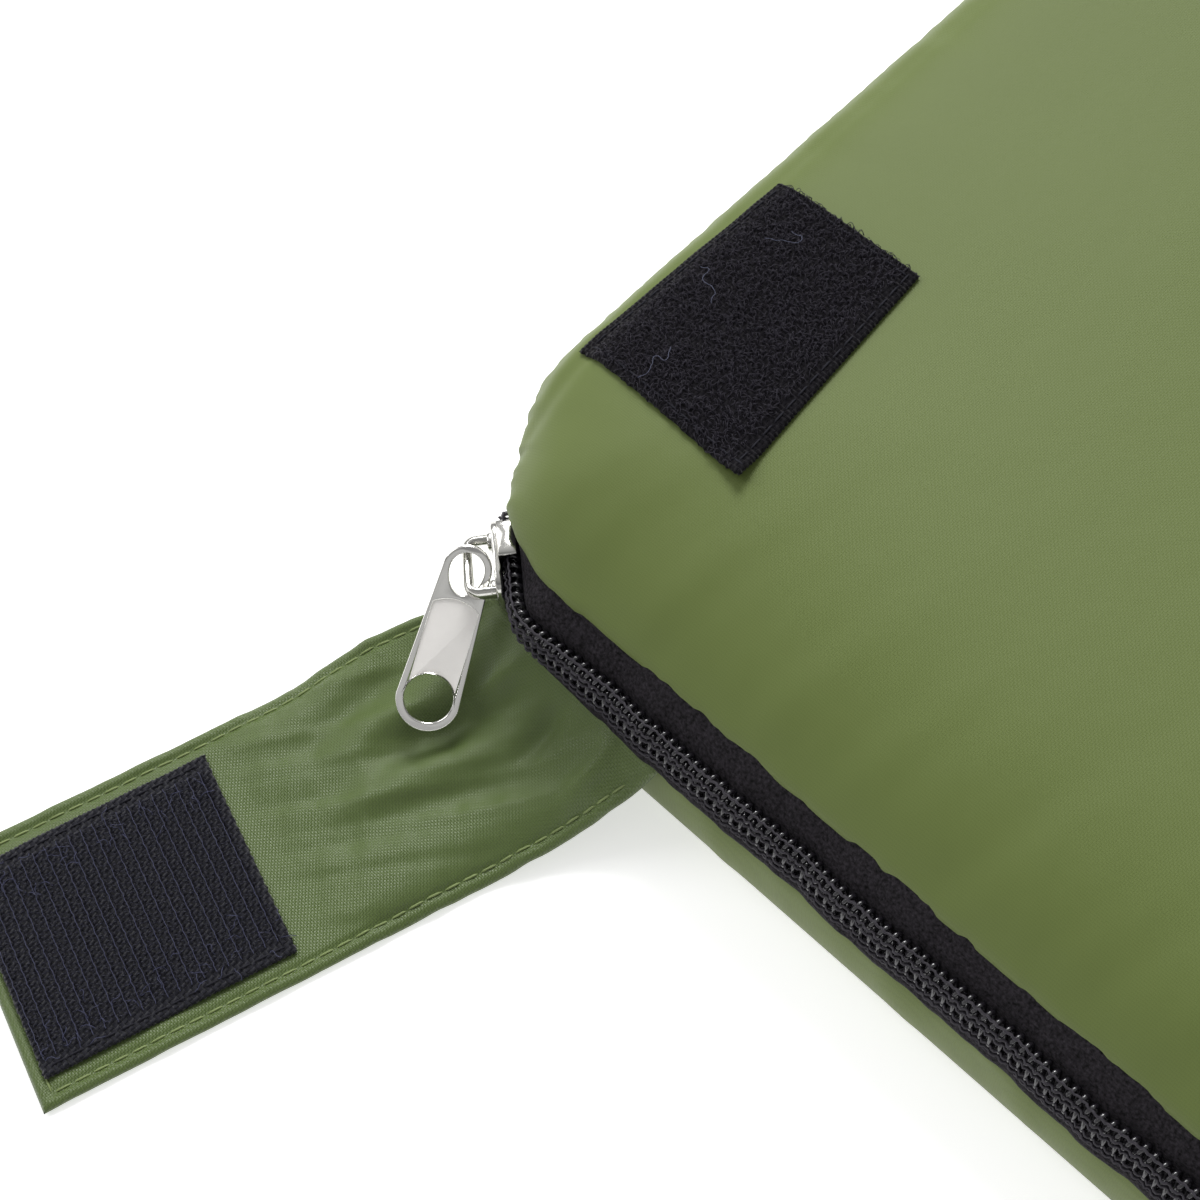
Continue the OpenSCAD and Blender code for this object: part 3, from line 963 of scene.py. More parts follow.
def trace_zip():
    """Distance along the zip, place and heading, every quarter of a millimetre."""
    to_corner = HEAD_PAST_SLIDER + slider_x / math.sin(BEVEL_TURN)
    cut = CORNER_RADIUS * math.tan(BEVEL_TURN / 2)
    first = to_corner - cut
    first_arc = CORNER_RADIUS * BEVEL_TURN
    side = slider_y - slider_x / math.tan(BEVEL_TURN) - cut
    second = first + first_arc + side - (LOWER_OUTLINE["foot"] + CHAIN_INSET + FOOT_CHAIN_RADIUS)
    second_arc = FOOT_CHAIN_RADIUS * math.pi / 2
    whole = second + second_arc + zip_end_x - FOOT_CHAIN_RADIUS
    place = np.arange(0, whole, ZIP_STEP)
    middle = place[:-1] + ZIP_STEP / 2
    heading = (
        1.5 * math.pi - BEVEL_TURN
        + BEVEL_TURN * np.clip((middle - first) / first_arc, 0, 1)
        + math.pi / 2 * np.clip((middle - second) / second_arc, 0, 1)
    )
    start_x = slider_x + HEAD_PAST_SLIDER * math.sin(BEVEL_TURN)
    start_y = slider_y + HEAD_PAST_SLIDER * math.cos(BEVEL_TURN)
    x = start_x + np.concatenate([[0], np.cumsum(np.cos(heading) * ZIP_STEP)])
    y = start_y + np.concatenate([[0], np.cumsum(np.sin(heading) * ZIP_STEP)])
    return place, x, y, np.append(heading, heading[-1])


zip_place, zip_x, zip_y, zip_heading = trace_zip()
print(f"the zip is {zip_place[-1]:.0f} mm long and ends at x {zip_x[-1]:.1f}, y {zip_y[-1]:.1f}")


def plan_point(place, inward):
    heading = np.interp(place, zip_place, zip_heading)
    x = np.interp(place, zip_place, zip_x) - np.sin(heading) * inward
    y = np.interp(place, zip_place, zip_y) + np.cos(heading) * inward
    return x, y


def along_zip(place, inward, z):
    """World points at a distance along the zip, inward from it, at a height."""
    place, inward, z = np.broadcast_arrays(place, inward, z)
    ramp = np.clip((place - HEAD_PAST_SLIDER - 5) / 22, 0, 1)
    lean = CHAIN_LEAN * ramp * ramp * (3 - 2 * ramp)
    sway = 0.25 * ripple(place, 34, 1.3) * ramp + 0.12 * ripple(place, 9, 0.2) * ramp
    return world(*plan_point(place, inward + lean * (z - chain_z) + sway), z)


# %% [markdown]
# ## The zip tapes
# Each tape is a knitted ribbon. One edge is sewn under a quilt's edge and the coil is
# sewn along the other. A grid is wrapped along the zip's line, with a cross-section of a
# few points, and is then given its thickness.

# %% Tapes
TAPE_T = 0.55


def seam_inward(place):
    """How far in from the chain the upper quilt's edge lies, found by halving."""
    return halve(
        np.full_like(place, -3.0), np.full_like(place, 12.0),
        lambda inward: inside_distance(*plan_point(place, inward), UPPER_OUTLINE) < 0, 26,
    )


def make_tape(name, body, node, section):
    def step_at(along):
        return 0.8 if along < 180 else min(6, 0.8 + (along - 180) / 20)

    rows = graded_lines(0, zip_place[-1], step_at)
    bm, place, across = grid_bmesh(rows, np.linspace(0, 1, 23))
    inward, z = section(place, across)
    place_verts(bm.verts, along_zip(place, inward, z))
    tape = finish_piece(
        bm, name, body, "zip_tape", cloth=lambda at: (place * MM, across * 0.012), turn_out=False
    )
    give_thickness(tape, TAPE_T)
    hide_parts(node)
    return tape


def lower_section(place, across):
    inward = np.interp(across, [0, 0.25, 0.4, 0.6, 0.75, 1], [3.0, 0.5, 0.05, 0.35, 1.3, 1.35])
    z = np.interp(across, [0, 0.25, 0.4, 0.6, 0.75, 1], [14.9, 15.3, 16.4, 18.3, 19.4, 21.8])
    fuzz = 0.14 * ripple(place, 11, 2.0) * np.exp(-(((across - 0.45) / 0.15) ** 2))
    return inward + fuzz, z


def upper_section(place, across):
    seam = seam_inward(place)
    lean_back = CHAIN_LEAN * np.clip((place - 14) / 22, 0, 1) * 7.8
    inward = np.where(
        across < 0.3,
        1.35,
        1.35 + (seam - lean_back - 1.05) * np.clip((across - 0.3) / 0.5, 0, 1) ** 1.1,
    ) + 3.0 * np.clip((across - 0.82) / 0.18, 0, 1)
    z = np.interp(across, [0, 0.3, 0.42, 0.8, 1], [22.2, 25.0, 26.2, 29.6, 30.2])
    middle = np.exp(-(((across - 0.6) / 0.16) ** 2))
    crease = 0.30 * ripple(place, 21, 0.6) + 0.14 * ripple(place, 5.7, 1.2)
    return inward, z + crease * middle


lower_tape = make_tape("lower_tape", "lower_quilt", "lower_zip_tape", lower_section)
make_tape("upper_tape", "upper_quilt", "upper_zip_tape", upper_section)
print("tapes:", len(lower_tape.data.polygons), "faces each")


# %% [markdown]
# ## The coils
# A coil is one nylon wire wound into a flattened spiral. Its heads reach across the
# middle and lock between the heads of the other coil, so the two spirals are half a
# turn apart. Past the slider's nose the coils come apart. Sewing thread runs along each
# coil and shows as small bars between the turns.

# %% Coils and their threads
COIL_PITCH = 1.55
WIRE_R = 0.36
HEAD_REACH = -0.45
COIL_BACK = 2.72
COIL_HALF_T = 1.04
POINTS_PER_TURN = 8
BARS_PER_TURN = 4
CORD_LEVEL = 3.2


def parting(place):
    """How far each coil has moved away from the middle, past the slider's nose."""
    ramp = np.clip((HEAD_PAST_SLIDER - 3.2 - place) / 2.6, 0, 1)
    return 1.5 * ramp * ramp * (3 - 2 * ramp)


def make_coil(name, body, node, way):
    turns = int((zip_place[-1] - 1) / COIL_PITCH)
    angle = np.arange(POINTS_PER_TURN, turns * POINTS_PER_TURN) * 2 * math.pi / POINTS_PER_TURN
    place = 0.5 + angle / (2 * math.pi) * COIL_PITCH + (COIL_PITCH / 2 if way > 0 else 0)
    middle, swing = (COIL_BACK + HEAD_REACH) / 2, (COIL_BACK - HEAD_REACH) / 2
    up = middle - swing * np.cos(angle) + parting(place)
    outward = COIL_HALF_T * np.sin(angle)
    coil = finish_piece(
        wires([along_zip(place, -outward, chain_z + way * up)], WIRE_R, 1),
        name, body, "zip_coil",
    )
    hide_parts(node)
    bar = np.arange(2 * BARS_PER_TURN, turns * BARS_PER_TURN) * COIL_PITCH / BARS_PER_TURN
    lift = 1.52 - 0.34 * (np.cos(bar * 2 * math.pi / COIL_PITCH + math.pi / 2) < 0)
    rows = [
        along_zip(bar + 0.5, -lift, chain_z + way * (level + parting(bar)))
        for level in (0.95, 1.95)
    ]
    cord_turn = bar * 2 * math.pi / (COIL_PITCH * 0.8)
    rows.append(
        along_zip(
            bar + 0.5, -0.75 - 0.1 * np.sin(cord_turn),
            chain_z + way * (CORD_LEVEL + 0.1 * np.cos(cord_turn) + parting(bar)),
        )
    )
    finish_piece(wires(rows, 0.21), name + "_thread", body, "black_thread", "zip_thread")
    return coil


lower_coil = make_coil("lower_coil_wire", "lower_quilt", "lower_coil", -1)
make_coil("upper_coil_wire", "upper_quilt", "upper_coil", 1)
print("coils:", len(lower_coil.data.polygons), "faces each")

# %% The stop at the foot end of the zip
def make_end_stop():
    low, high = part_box("zip_end_stop")
    bm = bmesh.new()
    bmesh.ops.create_cube(bm, size=1)
    bmesh.ops.subdivide_edges(
        bm, edges=[e for e in bm.edges if abs((e.verts[0].co - e.verts[1].co).x) > 0.5], cuts=2,
        use_grid_fill=True,
    )
    for vert in bm.verts:
        middle = abs(vert.co.x) < 0.3 and vert.co.y < 0
        vert.co = Vector(
            (low[i] + high[i]) / 2 + vert.co[i] * (high[i] - low[i]) for i in range(3)
        )
        vert.co.y += 0.8 * MM if middle else 0
    bmesh.ops.bevel(
        bm, geom=bm.edges, offset=0.35 * MM, segments=2, profile=0.5, affect="EDGES", material=-1
    )
    return finish_piece(bm, "end_stop", "lower_quilt", "slider_metal")


end_stop = make_end_stop()
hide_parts("zip_end_stop")
print("end stop:", len(end_stop.data.polygons), "faces")


# %% [markdown]
# ## The slider
# A cast slider has two plates that hold the coils between turned-down flanges, a wedge
# at the nose that parts the coils, and a bail over the outer plate for the pull. Each
# plate starts as a filled circle that is squared off and narrowed towards the tail, and
# is then extruded and bevelled, as soft as a casting is.

# %% The slider's own frame: y runs to the mouth, -x outwards, z up
SLIDER_HALF = 6.0
THROAT = 1.85
PLATE_T = 1.0
NOSE_HALF_W = 4.6
TAIL_HALF_W = 4.0
SLOT_X = 1.15
# Each flange: its side, half length, half width and place along the slider.
FLANGES = ((4.0, 2.9, 0.62, 2.0), (-4.0, 2.9, 0.62, 2.0), (-3.55, 2.9, 0.45, -2.2))
slider_frame = Matrix.Translation(Vector(world(slider_x, slider_y, chain_z)[0])) @ Matrix.Rotation(
    -BEVEL_TURN, 4, "Z"
)


def squared_circle(bm, half_length, half_width, squareness=0.42, points=48):
    """A filled, rounded rectangle in the y-z plane, wider at the nose than at the tail."""
    made = bmesh.ops.create_circle(bm, cap_ends=True, radius=1, segments=points)["verts"]
    for vert in made:
        across, along = vert.co.x, vert.co.y
        along = math.copysign(abs(along) ** squareness, along)
        across = math.copysign(abs(across) ** squareness, across)
        wide = half_width(along)
        vert.co = Vector((0, along * half_length * MM, across * wide * MM))
    return made


def slab(bm, made, from_x, to_x, soft):
    """Extrudes a flat outline from one x to another and softens its edges."""
    face = made[0].link_faces[0]
    for vert in made:
        vert.co.x += from_x * MM
    grown = bmesh.ops.extrude_face_region(bm, geom=[face])["geom"]
    verts = [g for g in grown if isinstance(g, bmesh.types.BMVert)]
    for vert in verts:
        vert.co.x += (to_x - from_x) * MM
    whole = set(made) | set(verts)
    edges = [
        e for e in bm.edges
        if set(e.verts) <= whole and abs(e.verts[0].co.x - e.verts[1].co.x) < 1e-7
    ]
    if soft:
        bmesh.ops.bevel(
            bm, geom=edges, offset=soft * MM, segments=3, profile=0.5, affect="EDGES", material=-1
        )


def plate_width(along):
    nose = min(max((along + 0.15) / 0.6, 0), 1)
    point = max(0, (along - 0.62) / 0.38)
    wide = TAIL_HALF_W + (NOSE_HALF_W - TAIL_HALF_W) * nose * nose * (3 - 2 * nose)
    return wide * (1 - 0.22 * point * point)


def make_slider():
    bm = bmesh.new()
    for way in (-1, 1):
        made = squared_circle(bm, SLIDER_HALF, plate_width)
        slab(bm, made, way * THROAT, way * (THROAT + PLATE_T), 0.3)
        for side, half_l, half_w, along in FLANGES:
            made = squared_circle(bm, half_l, lambda _: half_w, 0.5, 24)
            for vert in made:
                vert.co.y += along * MM
                vert.co.z += side * MM
            slab(bm, made, way * (THROAT + 0.15), SLOT_X + way * 0.45, 0.15)
    made = squared_circle(bm, 1.5, lambda along: 0.75 + 0.35 * along, 0.7, 24)
    for vert in made:
        vert.co.y += (SLIDER_HALF - 1.6) * MM
    slab(bm, made, -THROAT - 0.1, THROAT + 0.1, 0)
    for along in (3.9, -3.9):
        made = squared_circle(bm, 1.2, lambda _: 1.35, 0.7, 24)
        for vert in made:
            vert.co.y += along * MM
        slab(bm, made, -THROAT - PLATE_T + 0.1, -THROAT - PLATE_T - 0.9, 0.3)
    bmesh.ops.transform(bm, matrix=slider_frame, verts=bm.verts)
    body = finish_piece(bm, "slider_casting", "slider", "slider_metal")
    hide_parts("slider_body")
    return body


def make_bail():
    """A flat strap bent over the outer plate."""
    foot, top, reach, turn = -THROAT - PLATE_T + 0.4, -6.85, 4.35, 1.5
    arc = np.linspace(0, math.pi / 2, 9)
    corner_x = top + turn - turn * np.sin(arc)
    corner_y = -reach + turn - turn * np.cos(arc)
    x = np.concatenate([[foot, -4.4], corner_x, corner_x[::-1], [-4.4, foot]])
    y = np.concatenate([[-reach, -reach], corner_y, -corner_y[::-1], [reach, reach]])
    bm = wires([np.column_stack([x, y, np.zeros_like(x)]) * MM], 0.75, 4)
    for vert in bm.verts:
        to_tail = min(max((-vert.co.y / MM - 1.5) / 2.5, 0), 1)
        vert.co.z *= 1.25 + 0.55 * to_tail
    bmesh.ops.transform(bm, matrix=slider_frame, verts=bm.verts)
    bail = finish_piece(bm, "slider_bail_strap", "slider", "slider_metal")
    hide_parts("slider_bail")
    return bail


slider, bail = make_slider(), make_bail()
print("slider:", len(slider.data.polygons), "faces; bail:", len(bail.data.polygons))


# %% [markdown]
# ## The pull
# The pull is a flat casting with an egg-shaped eye for the bail and a round hole to
# grip. A raised polished rim runs round its outline and both holes, and the panel
# between them is sand-blasted. Flat curves with holes make both parts: a curve can be
# extruded and bevelled, and it keeps its holes.

# %% The pull's own frame and outlines: -y runs down its length
PULL = {"droop": 38.0, "lean": 24.0, "bar": -6.85, "head": 3.45, "length": 28.3}
RING_R, END_R = 3.6, 4.75
EYE_HALF_L, EYE_HALF_W = 3.15, 2.5
GRIP_R = 3.6
END_WALL = 1.35
PULL_T, PANEL_T = 1.5, 1.05
RIM, GRIP_RIM = 0.6, 0.32
PANEL_TOP_R = 5.65
pull_frame = (
    slider_frame
    @ Matrix.Translation((PULL["bar"] * MM, 0, 0))
    @ Matrix.Rotation(math.radians(PULL["droop"]), 4, "X")
    @ Matrix.Rotation(math.radians(-PULL["lean"]), 4, "Z")
)
ring_y = PULL["head"] - RING_R
end_y = PULL["head"] - PULL["length"] + END_R
eye_y = PULL["head"] - 1.1 - EYE_HALF_L
grip_y = end_y - END_R + END_WALL + GRIP_R
side_slope = math.asin((END_R - RING_R) / (ring_y - end_y))


def arc_points(cx, cy, radius, start, end, count=33, stretch=1.0):
    a = np.radians(np.linspace(start, end, count))
    return np.column_stack([cx + radius * np.cos(a), cy + radius * stretch * np.sin(a)])


def pull_outline(inset):
    """Two arcs and the straight sides that touch them both."""
    tilt = math.degrees(side_slope)
    top = arc_points(0, ring_y, RING_R - inset, -tilt, 180 + tilt)
    bottom = arc_points(0, end_y, END_R - inset, 180 + tilt, 360 - tilt)
    return np.vstack([top, bottom])


def panel_outline(grow=0.0):
    """The sunk panel: a bulging top, straight sides, and the grip hole's rim below."""
    side_top, side_low = eye_y - EYE_HALF_L - 2.0, grip_y + 1.2
    grip_r = GRIP_R + GRIP_RIM - grow

    def half_width(y):
        share = (ring_y - y) / (ring_y - end_y)
        return (RING_R + (END_R - RING_R) * share) / math.cos(side_slope) - RIM + grow

    top_half = half_width(side_top)
    top_cut = math.degrees(math.asin(top_half / PANEL_TOP_R))
    low_cut = math.degrees(math.asin(min(1, (side_low - grip_y) / grip_r)))
    centre_y = side_top - PANEL_TOP_R * math.cos(math.radians(top_cut)) + grow
    top = arc_points(0, centre_y, PANEL_TOP_R, 90 - top_cut, 90 + top_cut)
    low = arc_points(0, grip_y, grip_r, 180 - low_cut, low_cut)
    return np.vstack([top, low])


def flat_plate(outlines, thickness, soft):
    """A plate with holes from outlines in millimetres; the first one is its edge."""
    curve = bpy.data.curves.new("plate", "CURVE")
    curve.dimensions = "2D"
    curve.fill_mode = "BOTH"
    curve.extrude = (thickness / 2 - soft) * MM
    curve.bevel_depth = soft * MM
    curve.bevel_resolution = 3
    curve.offset = -soft * MM
    for outline in outlines:
        spline = curve.splines.new("POLY")
        spline.points.add(len(outline) - 1)
        flat = np.column_stack([outline * MM, np.zeros(len(outline)), np.ones(len(outline))])
        spline.points.foreach_set("co", flat.astype(np.float32).ravel())
        spline.use_cyclic_u = True
    bm = mesh_from_curve(curve)
    bmesh.ops.remove_doubles(bm, verts=bm.verts, dist=1e-6)
    return bm


def make_pull():
    eye = arc_points(0, eye_y, EYE_HALF_W, 0, 350, 36, EYE_HALF_L / EYE_HALF_W)
    eye[:, 0] *= 1 + 0.14 * (eye[:, 1] - eye_y) / EYE_HALF_L
    grip = arc_points(0, grip_y, GRIP_R, 0, 350, 36)
    bm = flat_plate([pull_outline(0), eye, grip, panel_outline()], PULL_T, 0.26)
    bmesh.ops.transform(bm, matrix=pull_frame, verts=bm.verts)
    rim = finish_piece(bm, "pull_rim", "pull", "pull_metal")
    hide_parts("pull_tab")
    bm = flat_plate([panel_outline(0.22)], PANEL_T, 0.08)
    bmesh.ops.transform(bm, matrix=pull_frame, verts=bm.verts)
    panel = finish_piece(bm, "pull_panel", "pull", "pull_metal", "pull_matte")
    return rim, panel


pull_rim, pull_panel = make_pull()
print("pull:", len(pull_rim.data.polygons) + len(pull_panel.data.polygons), "faces")


# %% [markdown]
# ## The closure tab
# The tab is a strap of two cloth layers, turned right side out and topstitched, so its
# edges are puckered between the stitches. Its root is gathered into the seam under the
# zip and comes down to the ground in a soft curve. The grid's long lines follow the two
# edges, and a loop lays the folds: short gathers at the root, then longer ones towards
# the patch. The back is a copy of the front, joined to it at the rim.

# %% The tab's shape
TAB_TIP = (-86.0, 2.0)
TAB_TURN = math.radians(18.0)
TAB_HALF_W = 21.5
TAB_LENGTH = 95
TAB_HALF_T = 0.62
TAB_STITCH_INSET = 2.0
TAB_MID_Z = 0.85
BEND_START, BEND_END = world(-1.5, -30, 8)[0], world(-27, -30, 8)[0]
along_tab = np.array([math.cos(TAB_TURN), -math.sin(TAB_TURN)])
across_tab = np.array([math.sin(TAB_TURN), math.cos(TAB_TURN)])


def tab_point(run, side):
    """A plan point at a distance from the tip and to the side, towards the mouth."""
    return np.array(TAB_TIP) + run * along_tab + side * across_tab


def tab_edge(seam, near_seam, near_tab, landing, tip):
    """One long edge: a curve down from the seam, then straight to the tip."""
    bends = [Vector(p) for p in (seam, near_seam, near_tab, landing)]
    root = np.array([p[:] for p in interpolate_bezier(*bends, 60)])
    return np.vstack([root, [*tip, TAB_MID_Z]])


mouth_edge = tab_edge(
    (2.5, -13.9, 15.6), (-2.0, -7.7, 12.7), (-9.5, 1.8, 4.2), (-25.0, 4.5, TAB_MID_Z),
    tab_point(0, TAB_HALF_W),
)
foot_edge = tab_edge(
    (-0.6, -50.5, 15.8), (-6.0, -49.0, 11.0), (-14.0, -44.5, 2.5), (-28.0, -39.3, TAB_MID_Z),
    tab_point(0, -TAB_HALF_W),
)

# A fold has two ends, a half width and a height, in millimetres; a valley is negative.
ROOT_GATHERS, PULL_FOLDS = 4, 6
FOLD_GAIN = 1.3


def on_strap(run, side):
    """Plan point between the strap's two edges; run 0 is the seam, side -1 the foot edge."""
    ends = []
    for edge in (foot_edge, mouth_edge):
        place = places_along(edge)
        ends.append([np.interp(run * place[-1], place, edge[:, i]) for i in range(2)])
    share = (side + 1) / 2
    return np.array(ends[0]) * (1 - share) + np.array(ends[1]) * share


def strap_folds():
    """Short gathers where the strap is sewn in, then longer folds that close in on the patch."""
    folds = []
    for i, side in enumerate(np.linspace(-0.6, 0.9, ROOT_GATHERS)):
        folds.append((on_strap(0.03, side), on_strap(0.15, side - 0.2), 1.9, 1.8 * (-1) ** i))
    for i, side in enumerate(np.linspace(-0.8, 0.7, PULL_FOLDS)):
        first = 0.12 + 0.05 * (i % 3)
        folds.append((
            on_strap(first, side), on_strap(first + 0.22, 0.6 * side + 0.1),
            2.9, 1.4 * (-1) ** i * (1 - 0.4 * abs(side)),
        ))
    folds.append((on_strap(0.42, 0.3), on_strap(0.46, -0.4), 3.2, -0.7))
    return folds


CREASES = strap_folds()


def crease_height(x, y):
    total = np.zeros_like(x)
    for (ax, ay), (bx, by), half_width, height in CREASES:
        dx, dy = bx - ax, by - ay
        share = ((x - ax) * dx + (y - ay) * dy) / (dx * dx + dy * dy)
        kept = np.clip(share, 0, 1)
        away = np.hypot(x - ax - kept * dx, y - ay - kept * dy)
        fade = np.exp(-((share - 0.5) ** 2) / 0.32)
        total += FOLD_GAIN * height * fade * np.exp(-((away / half_width) ** 2))
    return total


def tab_surface(run, side):
    """Plan place and height of the strap's middle layer; run 0 is the seam, side -1 to 1."""
    at = []
    for edge in (mouth_edge, foot_edge):
        place = places_along(edge)
        at.append(points_at(run * place[-1], place, edge))
    share = ((side + 1) / 2)[:, None]
    x, y, z = (at[1] * (1 - share) + at[0] * share).T
    free = 1 - np.exp(-((1 - np.abs(side)) / 0.16) ** 2)
    patch = 1 / (1 + np.exp(-(run - 0.53) / 0.018))
    loose = free * (1 - patch)
    at_seam = 1 - np.exp(-run / 0.05)
    sag = 2.2 * np.exp(-((run - 0.38) / 0.16) ** 2) * loose
    fine = 0.22 * ripple(x * 0.8 + y, 9, 0.8) + 0.18 * ripple(x - y * 0.9, 7, 1.7)
    under_tape = (1 - side * side) * np.exp(-run / 0.05)
    x = x - 0.4 * under_tape
    z = z + (sag + (crease_height(x, y) + fine) * loose * at_seam) + 1.1 * under_tape
    wave = 0.35 * ripple(run * TAB_LENGTH, 13, 2.6) * (1 - free) * (1 - patch * 0.6)
    return x, y, np.maximum(z, TAB_MID_Z - 0.2) + np.maximum(wave, -0.1)


def tab_half_thickness(run, side):
    """Half the thickness: rounded at the rim, puffed in the hem, pinched by the stitches."""
    from_edge = np.minimum((1 - np.abs(side)) * TAB_HALF_W, TAB_LENGTH * np.minimum(run, 1 - run))
    rounding = np.sqrt(np.clip(1 - (1 - np.clip(from_edge / 0.9, 0, 1)) ** 2, 0, 1))
    pinch = 0.30 * np.exp(-(((from_edge - TAB_STITCH_INSET) / 0.55) ** 2))
    gathers = 1 + ripple(run * TAB_LENGTH, 2.9, 0.3)
    puff = 0.12 * np.exp(-(((from_edge - 1.0) / 0.5) ** 2)) * gathers
    return rounding * (TAB_HALF_T + puff - pinch)


def close_layers(bm, upper, lower, join):
    """Makes a grid two-sided: a copy goes below, and points closer than join (mm) are joined."""
    front = list(bm.verts)
    back = bmesh.ops.duplicate(bm, geom=bm.verts[:] + bm.edges[:] + bm.faces[:])["vert_map"]
    place_verts([back[v] for v in front], lower)
    place_verts(front, upper)
    bmesh.ops.remove_doubles(bm, verts=bm.verts, dist=join * MM)


def make_tab():
    runs = graded_lines(0, 1, lambda r: 0.011 if r < 0.975 else 0.004)
    inner = np.linspace(0, 0.86, 26)
    edge_lines = 1 - np.array([0.13, 0.115, 0.1, 0.085, 0.07, 0.055, 0.04, 0.028, 0.016, 0.007, 0])
    half = np.concatenate([inner, edge_lines])
    sides = np.concatenate([-half[::-1], half[1:]])
    bm, run, side = grid_bmesh(runs, sides)
    x, y, z = tab_surface(run, side)
    half_t = tab_half_thickness(run, side)
    close_layers(bm, world(x, y, z + half_t), world(x, y, z - half_t), 0.005)
    tab = finish_piece(bm, "closure_tab", None, "tab_cloth", cloth=from_above)
    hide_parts("tab_root", "tab_back", "tab_face")
    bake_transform(tab)
    return tab


tab = make_tab()
print("tab:", len(tab.data.polygons), "faces")


# %% The tab's topstitching
def tab_line(runs, sides, lift):
    x, y, z = tab_surface(runs, sides)
    return world(x, y, z + tab_half_thickness(runs, sides) + lift)


def make_topstitch():
    stitch_side = 1 - TAB_STITCH_INSET / TAB_HALF_W
    end_run = 1 - TAB_STITCH_INSET / TAB_LENGTH
    down = np.linspace(0.06, end_run, 400)
    across = np.linspace(-stitch_side, stitch_side, 120)
    rows = [tab_line(down, np.full_like(down, s * stitch_side), 0.05) for s in (-1, 1)]
    rows.append(tab_line(np.full_like(across, end_run), across, 0.05))
    bm = stitches(rows, pitch=2.9, long=2.35, wide=0.2)
    topstitch = finish_piece(bm, "tab_topstitching", None, "green_thread")
    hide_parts("tab_topstitch")
    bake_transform(topstitch)
    return topstitch


topstitch = make_topstitch()
print("topstitching:", len(topstitch.data.polygons), "faces")


# %% [markdown]
# ## Hook tape and loop tape
# Both patches are narrow-woven tapes cut to length. Their long sides are selvedges with
# fine cross ribs, and their cut ends are a little ragged. The woven base is a grid with
# a front and a back. The hooks stand in rows, and the loops are a tangle, so both are
# bent wires: the hooks are placed by rule and the loops by seeded chance.

# %% The woven base of a patch
RIB_PITCH = 0.73
SELVEDGE = 2.9


def patch_base(length, width, place, thick, ridge_pitch=None, ragged=0.16):
    """A closed woven base; place turns (along, across, lift) in millimetres into the world."""
    along_lines = np.linspace(-length / 2, length / 2, int(length / 0.19))
    across_lines = np.concatenate([
        np.linspace(-width / 2, -width / 2 + SELVEDGE, 14),
        np.linspace(-width / 2 + SELVEDGE, width / 2 - SELVEDGE, 40)[1:-1],
        np.linspace(width / 2 - SELVEDGE, width / 2, 14),
    ])
    bm, along, across = grid_bmesh(along_lines, across_lines)
    edge = np.minimum(width / 2 - np.abs(across), length / 2 - np.abs(along))
    in_selvedge = width / 2 - np.abs(across) < SELVEDGE - 0.2
    ribs = 0.10 * np.cos(along * 2 * math.pi / RIB_PITCH) * in_selvedge
    if ridge_pitch:
        ribs += 0.12 * np.cos(along * 2 * math.pi / ridge_pitch) * ~in_selvedge
    ribs += 0.10 * np.exp(-(((width / 2 - np.abs(across) - SELVEDGE) / 0.3) ** 2))
    rounded = np.sqrt(np.clip(1 - (1 - np.clip(edge / 0.5, 0, 1)) ** 2, 0, 1))
    nick = ragged * ripple(across, 1.3, 0.4) * (length / 2 - np.abs(along) < 0.1)
    nick_side = 0.09 * np.cos(along * 2 * math.pi / RIB_PITCH) * (width / 2 - np.abs(across) < 0.1)
    along = along + nick * np.sign(along)
    across = across + nick_side * np.sign(across)
    middle = thick / 2
    upper = place(along, across, middle + rounded * (middle + ribs))
    close_layers(bm, upper, place(along, across, middle - rounded * middle), 0.003)
    return bm


def patch_sewing(length, width, place, lift):
    """Rows of stitches just inside the edge of a patch."""
    a, c = length / 2 - 1.5, width / 2 - 1.4
    ring = np.array([(-a, -c), (a, -c), (a, c), (-a, c), (-a, -c)])
    steps = [np.linspace(ring[i], ring[i + 1], 60) for i in range(4)]
    rows = [place(s[:, 0], s[:, 1], np.full(len(s), lift)) for s in steps]
    return stitches(rows, pitch=2.6, long=2.1, wide=0.15)


# %% The hook patch on the tab
HOOK_LENGTH, HOOK_WIDTH = 39.0, 35.0
HOOK_CENTRE_RUN = 2.0 + HOOK_LENGTH / 2
HOOK_ROW_PITCH = 1.9
HOOK_ROWS = np.arange(-HOOK_LENGTH / 2 + 1.0, HOOK_LENGTH / 2 - 0.6, HOOK_ROW_PITCH)
HOOK_GAP = 0.74
HOOK_BASE_T = 0.8
TAB_FACE_Z = TAB_MID_Z + TAB_HALF_T - 0.05


def on_tab(along, across, lift):
    along, across, lift = np.broadcast_arrays(along, across, lift)
    centre = tab_point(HOOK_CENTRE_RUN, 0)
    x = centre[0] + along * along_tab[0] + across * across_tab[0]
    y = centre[1] + along * along_tab[1] + across * across_tab[1]
    warp = 0.16 * ripple(along + 0.4 * across, 26, 0.3) + 0.1
    return world(x, y, TAB_FACE_Z + lift + warp)


